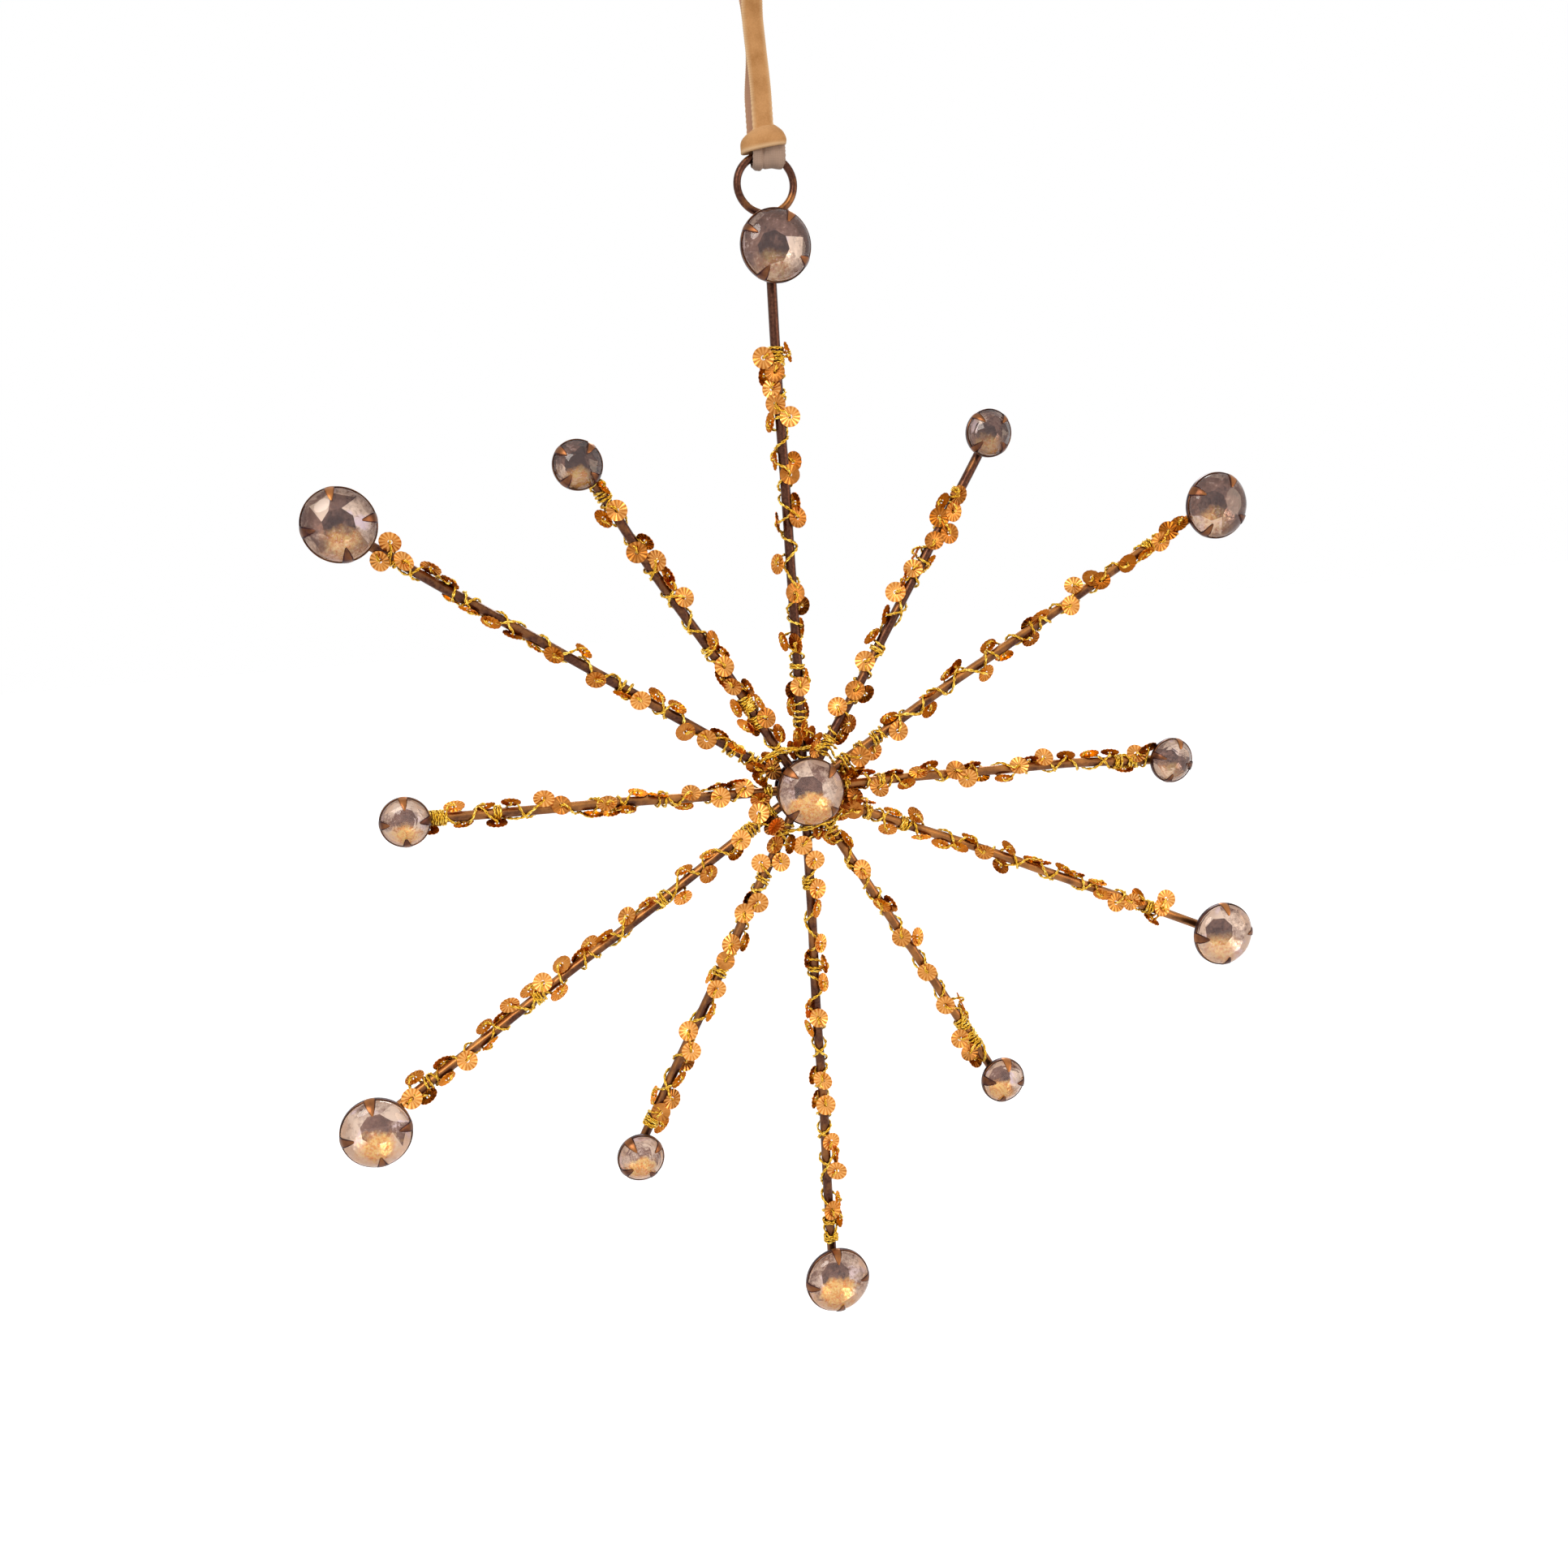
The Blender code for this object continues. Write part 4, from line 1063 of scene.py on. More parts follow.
@dataclass
class BronzeFrame:
    """The twelve rods, the ring that the star hangs by, and the disc behind the middle."""

    behind_large_cup: float = 0.0055
    behind_small_cup: float = 0.0035
    ring_radius: float = 0.00545
    ring_stretch: float = 1.04
    ring_wire: float = 0.0015
    rod_steps: int = 40
    ring_steps: int = 96
    wave_aside: float = 0.00012
    wave_forwards: float = 0.00008
    highlight_facing: tuple[float, float, float] = (-0.30, -0.60, 0.74)
    streak_highlight: float = 0.55

    def rod_line(self, arm: Arm) -> list[Vector]:
        """Lead an arm's rod, with the slight waves of hand-straightened wire.

        Args:
            arm: The arm.

        Returns:
            The rod's middle line.
        """
        run = arm.run + (self.behind_large_cup if arm.is_long else self.behind_small_cup)
        if arm.index == 0:
            run = arm.run + RING_HEIGHT - RING_REACH - LONG_ARM - GAP
        rng = random.Random(ROD_SEED + arm.index)
        phases = [rng.uniform(0, math.tau) for _ in range(2)]
        points = []
        for share in (i / self.rod_steps for i in range(self.rod_steps + 1)):
            z = run * share
            fade = math.sin(math.pi * share)
            x = arm.bend(z) + self.wave_aside * fade * math.sin(z * 130 + phases[0])
            points.append(arm.frame @ Vector((x, self.wave_forwards * fade * math.sin(z * 170 + phases[1]), z)))
        return points

    def streak(self, normal: Vector) -> float:
        """Return how much a painted highlight brightens a side: most where it faces up and forwards."""
        return self.streak_highlight * max(0.0, normal.dot(Vector(self.highlight_facing))) ** 5

    def build(self) -> None:
        """Make the rods and the ring, and give the disc its finish."""
        tool = WireTool(1)
        wire = {"Offset": 0.0, "Twist": 1.0}
        for arm in ARMS:
            name = f"wire_{arm.name}"
            guide = line_mesh(self.rod_line(arm))
            mesh = tool.run(name, guide, ROD_BRONZE, Step=0.0011, Radius=ROD_RADIUS, Sides=24, **wire)
            # Painted light: each arm's level stands partly for how the light falls on that arm, and the streak is a
            # painted highlight.
            set_attribute(mesh, "polish", [arm.polish - 0.10 + self.streak(vert.normal) for vert in mesh.vertices])
            fix_piece(name, shade(mesh, 50), (f"rod_{arm.name}",))
        circle = []
        for angle in (math.tau * i / self.ring_steps for i in range(self.ring_steps)):
            spot = Vector((math.cos(angle) * self.ring_stretch, 0.0, math.sin(angle)))
            circle.append(RING_CENTRE + spot * self.ring_radius)
        guide = line_mesh(circle, closed=True)
        mesh = tool.run("wire_ring", guide, ROD_BRONZE, Step=0.0004, Radius=self.ring_wire / 2, Sides=20, **wire)
        # Painted highlights: the ring is painted brighter on its right side, low down, and where it faces up and
        # forwards.
        polish = []
        for vert in mesh.vertices:
            side = (vert.co - RING_CENTRE).normalized()
            polish.append(0.08 + 0.18 * max(0.0, side.x) - 0.12 * side.z + self.streak(vert.normal))
        set_attribute(mesh, "polish", polish)
        fix_piece("wire_ring", mesh, ("hanging_ring",))
        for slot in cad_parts["hub_disc"].material_slots:
            slot.material = CUP_BRONZE.material
        LOG.info("hub_disc: CAD solid with its finish")


# Stones and their cups


@dataclass(frozen=True)
class CupSize:
    """Sizes of a claw cup and of its stone."""

    radius: float
    depth: float
    taper: float
    rise: float
    cup_points: int
    stone_points: int
    reach_share: float
    base_share: float


class StoneCut(Enum):
    """How a stone is cut, with the size of its cup."""

    HIGH_DOME = CupSize(0.00705, 0.0039, 0.0020, 0.0028, 80, 64, 1.0, 1.0)
    OCTAGON_TABLE = CupSize(0.0049, 0.0029, 0.0015, 0.0022, 64, 48, 0.86, 0.88)


# How pale the facets of the large stones look, from 0 to 9, clockwise from the top: first the eight round the
# middle, then the eight by the girdle.
FACET_TONES = {
    "centre": "74468544" "99567667",
    "top_long": "34976433" "23258875",
    "upper_right_long": "42349844" "43224884",
    "lower_right_long": "85576867" "85657956",
    "bottom_long": "33368432" "77346878",
    "lower_left_long": "35058743" "89678988",
    "upper_left_long": "18746429" "56556533",
}


@dataclass
class ClawSetting:
    """A glass stone in its claw cup."""

    name: str
    place: Vector
    cut: StoneCut
    claw_turn: float
    seed: int
    glow: float
    paleness: float
    wall: float = 0.00035
    rim: float = 0.00023
    claw_sheet: float = 0.00022
    collar: float = 0.0010
    claw_reach: float = 0.0025
    claw_base: float = 0.0021
    claw_tip: float = 0.0003
    claw_crown: float = 0.00007
    claw_slew: float = 0.06
    play: float = 0.00004

    @property
    def size(self) -> CupSize:
        """Sizes of the cup and the stone."""
        return self.cut.value

    @property
    def is_domed(self) -> bool:
        """Whether the stone is a smooth dome."""
        return self.cut is StoneCut.HIGH_DOME

    @property
    def stone_radius(self) -> float:
        """Radius of the stone at its girdle."""
        return self.size.radius - self.rim - self.play

    @property
    def girdle(self) -> float:
        """Height of the stone's girdle."""
        return self.size.depth + 0.00005

    @property
    def matrix(self) -> Matrix:
        """Matrix of the setting: Z comes out of the star's front."""
        spin = Matrix.Rotation(-math.radians(self.claw_turn), 4, "Z")
        upright = Matrix.Rotation(math.radians(90), 4, "X")
        return Matrix.Translation(self.place + FRONT * CUP_BACK) @ upright @ spin

    def dome(self, distance: float) -> float:
        """Return the height of the stone's front at a distance from its axis."""
        share = min(distance / self.stone_radius, 1.0)
        return self.girdle + self.size.rise * math.sqrt(1 - share * share)

    def add_hull(self, bm: bmesh.types.BMesh, levels: Sequence[tuple], side: int) -> None:
        """Add the convex hull of level circles, open at the girdle.

        Args:
            bm: The stone.
            levels: Each circle's number of points, radius as a share of the stone's, height and shift.
            side: 1 for the stone's back, or -1 for its front.
        """
        hull = bmesh.new()
        for count, share, height, shift in levels:
            for point in level_circle(count, share * self.stone_radius, height, shift):
                hull.verts.new(point)
        bmesh.ops.convex_hull(hull, input=hull.verts)
        lids = [f for f in hull.faces if all(side * (v.co.z - self.girdle) > -1e-6 for v in f.verts)]
        bmesh.ops.delete(hull, geom=lids, context="FACES")
        for face in hull.faces:
            face.material_index = 1 if side > 0 else 0
        spare = mesh_of(hull, "hull")
        bm.from_mesh(spare)
        bpy.data.meshes.remove(spare)

    def stone_mesh(self) -> bpy.types.Mesh:
        """Make the stone.

        Returns:
            A clear front on a faceted, foiled back.
        """
        bm = bmesh.new()
        base = self.wall + 0.00025
        count = self.size.stone_points
        radius = self.stone_radius
        rise = self.girdle - base
        rim = (count, 1.0, self.girdle, 0.0)
        if self.is_domed:
            self.add_hull(bm, ((8, 0.40, base, 0.5), (8, 0.76, base + 0.30 * rise, 0.0), rim), 1)
            last = [bm.verts.new(point) for point in level_circle(count, radius, self.girdle)]
            for share in (0.985, 0.94, 0.87, 0.78, 0.67, 0.55, 0.42, 0.28, 0.14):
                circle = level_circle(count, share * radius, self.dome(share * radius))
                here = [bm.verts.new(point) for point in circle]
                join_rings(bm, last, here)
                last = here
            join_rings(bm, last, [bm.verts.new((0.0, 0.0, self.dome(0.0)))])
        else:
            self.add_hull(bm, ((8, 0.42, base, 0.0), (8, 0.78, base + 0.35 * rise, 0.5), rim), 1)
            table = [(8, share, self.dome(share * radius), shift) for share, shift in ((0.80, 0.0), (0.46, 0.5))]
            self.add_hull(bm, (rim, *table), -1)
        bmesh.ops.remove_doubles(bm, verts=bm.verts, dist=1e-6)
        mesh = mesh_of(bm, f"stone_{self.name}", 16 if self.is_domed else 8)
        self.tone_facets(mesh)
        mesh.transform(self.matrix)
        return mesh

    def tone_facets(self, mesh: bpy.types.Mesh) -> None:
        """Store each facet's tone, and where on the stone and how strong the painted glow is.

        Args:
            mesh: The stone, before it is put in its place.
        """
        rng = random.Random(self.seed)
        tones = [rng.random() for _ in range(24)]
        darkest = (0.08, 0.17, 0.32)
        spread = (0.00, 0.68, 0.60)
        turn = self.matrix.to_3x3()
        facets = []
        for polygon in mesh.polygons:
            x, y, _ = polygon.center
            distance = math.hypot(x, y) / self.stone_radius
            ring = 0 if distance < 0.40 else (1 if distance < 0.74 else 2)
            tone = tones[8 * ring + eighth(y, x)]
            if ring and self.name in FACET_TONES:
                at = turn @ polygon.center
                tone = int(FACET_TONES[self.name][8 * (ring - 1) + eighth(at.x, at.z)]) / 9
            facets.append(self.paleness + darkest[ring] + spread[ring] * tone)
        set_attribute(mesh, "facet", facets, "FACE")
        spots = [turn @ vert.co / self.stone_radius for vert in mesh.vertices]
        set_vectors(mesh, "spot", [(at.x, at.z, self.glow) for at in spots])

    def cup_mesh(self) -> bpy.types.Mesh:
        """Make the cup.

        Returns:
            A spun wall with a rolled rim, and four claws bent over the stone.
        """
        bm = bmesh.new()
        edge_layer = bm.verts.layers.float.new("polish")
        radius, depth, wall, rim = self.size.radius, self.size.depth, self.wall, self.rim
        base = radius - self.size.taper
        collar = depth - self.collar
        # Radius, height and wear, from the middle of the back over the rim to the middle of the inside.
        profile = (
            (0.0, 0.0, 0.0), (base - 0.00015, 0.0, 0.05), (base, 0.00008, 0.25), (base + 0.00012, 0.00025, 0.1),
            (radius - 0.00010, collar - 0.00012, 0.05), (radius, collar + 0.00012, 0.1),
            (radius, depth - 0.00025, 0.0), (radius - 0.00003, depth - 0.00006, 0.3), (radius - rim / 2, depth, 0.5),
            (radius - rim, depth - 0.00006, 0.1), (radius - rim, depth - 0.00030, 0.0), (radius - wall, collar, 0.0),
            (base - wall / 2, wall, 0.0), (0.0, wall, 0.2),
        )
        rings = []
        for distance, height, polish in profile:
            count = self.size.cup_points if distance else 1
            ring = [bm.verts.new(point) for point in level_circle(count, distance, height)]
            for vert in ring:
                vert[edge_layer] = polish
            rings.append(ring)
        for one, two in zip(rings, rings[1:]):
            join_rings(bm, one, two)
        for claw in range(4):
            self.add_claw(bm, edge_layer, math.tau * claw / 4, claw)
        mesh = mesh_of(bm, f"cup_{self.name}", 40)
        mesh.transform(self.matrix)
        return mesh

    def add_claw(self, bm: bmesh.types.BMesh, edge_layer: Any, middle: float, number: int) -> None:
        """Add one claw: a tapering tab that rises from the wall and bends over the stone.

        Args:
            bm: The cup.
            edge_layer: Layer that holds how far each point is brightened by wear and by painted highlight.
            middle: Angle of the claw's middle.
            number: The claw's number, which gives it its own small differences.
        """
        rng = random.Random(self.seed * 7 + number)
        depth = self.size.depth
        reach = self.claw_reach * self.size.reach_share * rng.uniform(0.82, 1.08)
        base = self.claw_base * self.size.base_share * rng.uniform(0.85, 1.2)
        slew = rng.uniform(-self.claw_slew, self.claw_slew)
        # Painted highlight: claws on the upper side are painted brighter.
        upward = (self.matrix.to_3x3() @ Vector((math.cos(middle), math.sin(middle), 0.0))).z
        worn_and_lit = 0.38 + 0.62 * max(0.0, upward) ** 2 * rng.uniform(0.4, 1.0)
        columns = 6
        under, over = layers = ([], [])
        for lift, grid in enumerate(layers):
            for share in (-0.22, -0.1, 0.0, 0.06, 0.14, 0.26, 0.42, 0.6, 0.78, 0.92, 1.0):
                bent = max(share, 0.0)
                distance = self.size.radius - self.wall * 0.35 - reach * bent
                thick = self.claw_sheet * (1.0 - 0.25 * bent)
                half = (base / 2 - self.claw_tip / 2) * (1 - bent) ** 0.85 + self.claw_tip / 2
                if share > 0.0:
                    height = self.dome(min(distance, self.stone_radius)) + 0.00005
                    height = max(height, depth - 0.0001) + 0.00005 * math.sin(math.pi * min(1.0, share * 3))
                else:
                    height = depth + share * depth * 0.9
                row = []
                for side in (2 * column / columns - 1 for column in range(columns + 1)):
                    crown = self.claw_crown * (1 - side * side)
                    angle = middle + slew * bent + side * half / max(distance, 0.0012)
                    out, up = distance, height
                    if share <= 0.0:
                        out += lift * (thick * 0.5 + crown)
                    else:
                        slope = min(1.0, share * 2.5)
                        out += lift * thick * (1 - slope) * 0.7
                        up += lift * (thick * (0.4 + 0.6 * slope) + crown)
                    vert = bm.verts.new((out * math.cos(angle), out * math.sin(angle), up))
                    vert[edge_layer] = worn_and_lit - (0.55 if abs(side) > 0.9 else 0.0)
                    row.append(vert)
                grid.append(row)
        strips = list(zip(*under))
        for one, two in (*zip(over, over[1:]), *zip(strips, strips[1:])):
            join_rings(bm, one, two, closed=False)
        for end in (0, -1):
            join_rings(bm, under[end], over[end], closed=False)
            join_rings(bm, strips[end], [row[end] for row in over], closed=False)

    def build(self) -> None:
        """Make the cup and the stone."""
        name = self.name
        fix_piece(f"cup_{name}", self.cup_mesh(), (f"claw_cup_{name}",), (CUP_BRONZE,))
        fix_piece(f"stone_{name}", self.stone_mesh(), (f"glass_stone_{name}",), (GLASS, FOIL))


def eighth(across: float, ahead: float) -> int:
    """Return which eighth of a turn, from 0 to 7, a direction lies in."""
    return int((math.atan2(across, ahead) / math.tau * 8 + 8.5) % 8)


# Thread and sequins


class Lay(Enum):
    """How a sequin lies on its arm."""

    FRONT = "stamped side out, in front of the rod"
    SMOOTH = "smooth side out, in front of the rod"
    BEHIND = "behind the rod"


@dataclass(frozen=True)
class Seat:
    """Where a sequin sits on its arm: measured on the front of the star, in millimetres.

    The share is how far its face is open to the camera, from 0 for edge on to 1, and tone is its painted light.
    """

    along_mm: float
    across_mm: float
    share: float
    tone: float
    lay: Lay = Lay.FRONT

    @property
    def along(self) -> float:
        """Distance from the rod's inner end, in metres."""
        return self.along_mm * MM


@dataclass(frozen=True)
class Coil:
    """A place where the thread is wound close together round the rod."""

    along_mm: float
    end_mm: float
    turns: float

    @property
    def along(self) -> float:
        """Distance of its middle from the rod's inner end, in metres."""
        return (self.along_mm + self.end_mm) / 2 * MM


S = Lay.SMOOTH
B = Lay.BEHIND

# For each arm, from the middle outwards: along, across (to the left of the way out), share, tone, and the lay
# where it isn't FRONT. A few at the end of a list lie between others.
SEAT_ROWS = {
    "top_long": (
        (3.3, -2.4, 0.6, 0.5), (6.4, 1.0, 0.45, 0.3), (6.6, -1.7, 0.5, 0.2, S), (7.9, -0.3, 0.35, 0.6),
        (12.3, -0.9, 0.4, 0.0, B), (16.4, 1.2, 0.9, 0.2, B), (16.9, -0.1, 1.0, 0.8), (18.6, -1.6, 0.2, 0.3),
        (25.8, 0.2, 0.6, 0.2), (26.6, 2.7, 0.4, 0.2), (29.3, -1.1, 0.35, 0.1, B), (33.6, -1.6, 0.8, 0.1, B),
        (36.0, -0.4, 0.9, 0.4, S), (42.3, 2.9, 0.6, 0.7), (50.3, 2.3, 0.15, 0.2, S), (51.1, -1.8, 0.8, 0.4),
        (54.3, -1.6, 0.5, 0.2, B), (59.5, -0.8, 1.0, 0.3, S), (62.8, -1.7, 0.8, 0.1, B), (63.1, 2.2, 0.2, 0.1, S),
        (70.5, 2.5, 0.4, 0.4), (70.7, -1.6, 1.0, 0.9), (73.5, 1.2, 1.0, 0.5), (76.6, 1.8, 0.9, 0.9),
        (79.5, 3.3, 0.5, 0.0, B), (79.6, 0.9, 1.0, 0.3), (82.5, 3.1, 1.0, 0.6), (83.8, -1.9, 0.25, 0.1),
        (13.2, 2.0, 0.4, 0.1, B),
    ),
    "upper_right_short": (
        (3.8, 2.0, 0.6, 0.6), (5.6, 3.0, 0.4, 0.3, S), (11.6, -2.0, 0.75, 0.4), (13.7, 1.9, 0.95, 0.9),
        (18.3, 0.1, 1.0, 0.4), (18.7, -2.4, 0.7, 0.3, B), (24.7, 1.0, 1.0, 0.8), (30.1, 2.0, 0.4, 0.2),
        (35.1, 1.4, 0.35, 0.1, S), (40.2, 1.8, 1.0, 1.0), (43.4, 1.4, 0.2, 0.0, B), (46.2, 0.7, 1.0, 0.7),
        (49.4, 1.8, 0.1, 0.2, S), (53.2, -0.7, 1.0, 0.3), (56.1, -2.9, 0.9, 0.3), (58.1, 0.6, 1.0, 0.1),
        (60.4, -1.6, 0.8, 0.6), (61.5, 1.6, 0.5, 0.1, S), (63.8, -1.0, 0.75, 0.4), (8.6, -2.0, 0.5, 0.2, B),
        (49.2, -1.9, 0.3, 0.3, B),
    ),
    "upper_right_long": (
        (4.1, -2.0, 0.5, 0.3), (6.5, -3.2, 0.4, 0.2, S), (8.7, -1.0, 1.0, 0.5), (11.9, -1.8, 0.8, 0.8, B),
        (18.5, 2.4, 0.5, 0.2, S), (18.5, -1.2, 1.0, 0.7), (27.0, -1.3, 0.6, 0.1, B), (28.3, 1.7, 0.15, 0.0, S),
        (34.5, 2.7, 0.3, 0.2), (36.4, 3.1, 0.5, 0.2, B), (41.3, -1.9, 0.65, 0.6), (45.0, 2.6, 0.5, 0.2),
        (47.0, -1.2, 0.5, 0.3, B), (53.5, -1.5, 0.6, 0.5), (55.2, 1.4, 0.7, 0.3, B), (57.8, 1.4, 0.4, 0.6, S),
        (64.7, -0.5, 1.0, 1.0), (67.8, 2.8, 0.9, 0.9), (72.3, 1.8, 0.9, 0.3, S), (73.3, 0.2, 0.9, 0.1, S),
        (80.5, -0.2, 0.8, 0.1, S), (85.1, -0.6, 0.4, 0.3), (89.4, -0.4, 0.9, 0.6), (92.2, 0.6, 1.0, 0.2),
        (95.0, 0.5, 0.7, 0.1),
    ),
    "right_short": (
        (4.2, 2.4, 0.5, 0.5), (5.6, -2.4, 0.8, 0.1, B), (6.3, -0.3, 0.3, 0.0, B), (8.4, 2.4, 0.25, 0.1, S),
        (11.3, -1.1, 0.9, 0.7), (17.5, -0.8, 0.55, 0.2, S), (20.1, 1.5, 0.6, 0.8), (22.6, 2.8, 0.5, 0.3, B),
        (28.5, 1.3, 0.95, 0.4), (31.2, -0.6, 0.95, 0.7), (34.5, -0.4, 0.6, 0.2, B), (39.7, -1.2, 0.35, 0.3),
        (43.0, 1.2, 0.9, 0.8), (48.9, 2.6, 0.9, 0.9), (53.9, 2.5, 0.4, 0.1, S), (60.0, 2.6, 0.3, 0.0, S),
        (64.3, 2.4, 0.25, 0.0, S), (68.2, -1.5, 0.4, 0.5, B), (70.9, 1.7, 0.9, 0.7), (73.4, 2.6, 0.5, 0.2, S),
        (14.8, 2.0, 0.3, 0.4, B), (32.3, 2.3, 0.3, 0.3, B), (45.6, 2.3, 0.4, 0.0, B),
    ),
    "lower_right_long": (
        (2.9, 1.9, 0.8, 0.3, B), (3.8, 0.2, 0.6, 0.4), (4.3, -2.1, 0.7, 0.4), (6.2, 2.4, 0.9, 0.25, S),
        (6.8, -0.5, 0.9, 0.3, S), (8.9, 2.2, 0.2, 0.6), (15.5, -1.9, 0.6, 0.6), (20.4, 2.7, 0.7, 0.4),
        (23.3, -1.2, 0.35, 0.7), (28.2, -1.5, 0.4, 0.5, S), (32.3, -0.8, 0.4, 0.4, S), (34.2, 1.9, 0.35, 0.1, S),
        (38.1, 0.0, 0.75, 0.4), (43.2, -1.8, 0.75, 0.3, B), (43.5, 2.5, 0.6, 0.3), (49.7, 1.8, 0.3, 0.0, S),
        (57.6, 2.1, 0.4, 0.2), (60.9, 1.8, 0.3, 0.1, B), (66.5, 1.6, 0.2, 0.7), (68.4, -0.7, 0.5, 0.5, S),
        (72.2, -1.3, 1.0, 0.6), (75.8, 0.0, 1.0, 0.8), (77.4, 1.6, 0.8, 0.1, S), (82.4, -2.4, 0.4, 0.4, B),
        (83.5, 1.0, 1.0, 1.0), (83.9, 3.1, 1.0, 1.0), (15.5, 1.8, 0.3, 0.3, B), (51.8, 1.9, 0.3, 0.4),
    ),
    "lower_right_short": (
        (6.9, -1.7, 0.5, 0.2), (9.5, 1.5, 0.3, 0.2, S), (15.5, -1.2, 0.2, 0.0, B), (16.9, 0.4, 0.85, 0.8),
        (25.9, -0.3, 0.6, 0.3), (26.9, 1.5, 0.4, 0.5), (34.6, -0.7, 1.0, 0.5), (36.8, 2.2, 0.75, 0.7),
        (44.6, -0.3, 0.95, 0.6), (53.5, -1.0, 0.95, 0.7), (55.4, 2.4, 0.15, 0.2, S), (57.9, 1.4, 0.3, 0.0, B),
        (61.9, -2.5, 1.0, 0.6), (66.0, -2.4, 1.0, 0.6, S), (68.5, -2.2, 0.7, 0.2, B),
    ),
    "bottom_long": (
        (4.3, 2.2, 0.5, 0.1, S), (7.1, -1.5, 1.0, 0.5), (10.5, 1.0, 1.0, 0.6), (16.8, 1.2, 0.8, 0.6),
        (21.0, 0.8, 0.45, 0.3), (28.6, 1.2, 0.6, 0.9), (31.7, -1.8, 0.4, 0.1, B), (37.2, 1.3, 0.5, 0.5),
        (42.3, -2.2, 0.35, 0.2), (44.8, -0.1, 1.0, 0.5), (47.2, -2.2, 0.4, 0.1), (57.7, -2.0, 0.5, 0.2, B),
        (58.7, 0.1, 0.9, 0.6), (63.1, -1.9, 0.4, 0.1, B), (64.3, 0.4, 1.0, 0.6), (72.8, 1.1, 0.9, 0.5),
        (79.5, 2.1, 1.0, 0.5), (87.0, 2.1, 0.25, 0.4, S), (88.4, 0.5, 0.8, 0.1), (91.0, 2.2, 0.3, -0.3, S),
        (33.2, 1.9, 0.3, 0.3, B), (75.8, 2.0, 0.3, 0.4, B),
    ),
    "lower_left_short": (
        (5.0, -2.6, 0.7, 0.2), (8.6, -1.1, 0.7, 0.4), (11.4, 1.6, 0.95, 0.7), (13.2, -2.3, 1.0, 0.9),
        (21.0, 0.8, 1.0, 0.4), (21.5, -1.4, 0.5, 0.0, B), (24.2, -1.0, 1.0, 0.5), (31.2, -0.7, 0.9, 0.5),
        (34.8, -0.4, 1.0, 0.3, S), (39.0, -1.9, 0.2, 0.8), (41.0, 0.4, 0.95, 0.7), (46.2, 1.6, 0.3, 0.3, S),
        (51.4, -1.3, 0.95, 0.7), (55.0, 1.1, 1.0, 0.9), (58.0, 0.9, 0.9, 0.5, B), (61.8, 1.4, 0.4, 0.1, S),
        (65.8, 1.6, 0.8, 0.5), (69.3, 0.6, 1.0, 0.3, S), (7.2, 2.0, 0.5, 0.1, B), (29.8, 1.8, 0.4, 0.5, B),
        (67.0, -2.2, 0.3, 0.8), (72.6, 1.9, 0.5, 0.1, B),
    ),
    "lower_left_long": (
        (4.5, -3.7, 0.8, 0.3, B), (5.7, 2.0, 0.7, 0.4), (6.4, -2.1, 1.0, 0.8), (12.6, 0.0, 1.0, 0.9),
        (15.0, 1.5, 0.6, 0.0, B), (19.8, -1.8, 0.35, 0.7), (22.2, 1.6, 0.7, 0.3, S), (25.9, -2.4, 0.4, 0.2),
        (29.3, 2.0, 0.6, 0.8), (35.5, -2.0, 0.3, 0.6), (40.7, -2.2, 0.8, 0.4), (46.5, -1.8, 0.3, 0.2, S),
        (50.4, -2.4, 0.6, 0.5, B), (57.1, -2.8, 0.7, 0.5, S), (60.8, 1.6, 0.5, 0.6), (62.0, -2.2, 1.0, 0.9),
        (65.6, -2.6, 0.5, 0.5, B), (69.7, -2.8, 0.7, 0.5), (76.9, -2.4, 0.5, 0.2), (77.7, 1.2, 0.15, 0.4, S),
        (83.1, 0.9, 1.0, 0.8), (88.7, 1.4, 0.4, 0.4, S), (93.8, 1.8, 0.6, 0.1, B), (93.9, -3.0, 0.5, 0.2),
        (96.2, 0.0, 1.0, 1.0), (53.1, -2.1, 0.4, 0.4, B), (73.0, -1.9, 0.4, 0.2, B), (87.7, -2.0, 0.5, 0.4, B),
    ),
    "left_short": (
        (5.4, 1.2, 0.7, 0.2), (8.6, -1.4, 1.0, 0.7), (10.5, -2.5, 0.4, 0.1, B), (13.7, 0.2, 1.0, 0.8),
        (14.4, -2.2, 0.3, 0.0, B), (19.8, -1.2, 0.8, 0.8), (21.6, 1.3, 0.4, 0.2, B), (26.6, -1.4, 0.15, 0.0, S),
        (30.9, -2.0, 0.4, 0.5), (33.2, 1.3, 0.4, 0.1, S), (36.6, 1.5, 0.45, 0.5, B), (36.9, -0.3, 0.7, 0.6),
        (46.1, -0.7, 0.95, 0.3, S), (49.4, -2.3, 0.75, 0.8), (55.9, -1.9, 0.35, 0.2, S), (58.9, 2.0, 0.4, 0.1),
        (61.6, -1.6, 0.25, 0.0, S), (65.9, 1.6, 0.35, 0.1, B), (67.4, -1.9, 0.5, 0.9), (40.0, 1.7, 0.3, 0.1, B),
        (72.4, 2.2, 0.5, 0.0, B),
    ),
    "upper_left_long": (
        (3.9, -0.4, 0.9, 0.4), (5.6, -2.3, 0.5, 0.1, S), (7.3, 0.8, 0.6, 0.2), (12.8, -0.8, 0.35, 0.6, S),
        (17.6, -1.5, 0.4, 0.0, B), (19.2, 0.9, 1.0, 0.4), (23.8, 1.7, 0.95, 0.3, S), (28.0, -1.9, 0.45, 0.3),
        (32.8, -1.9, 0.5, 0.3), (35.0, 0.6, 0.95, 0.8), (38.8, 1.5, 0.25, 0.0, S), (44.9, 1.4, 0.8, 0.2),
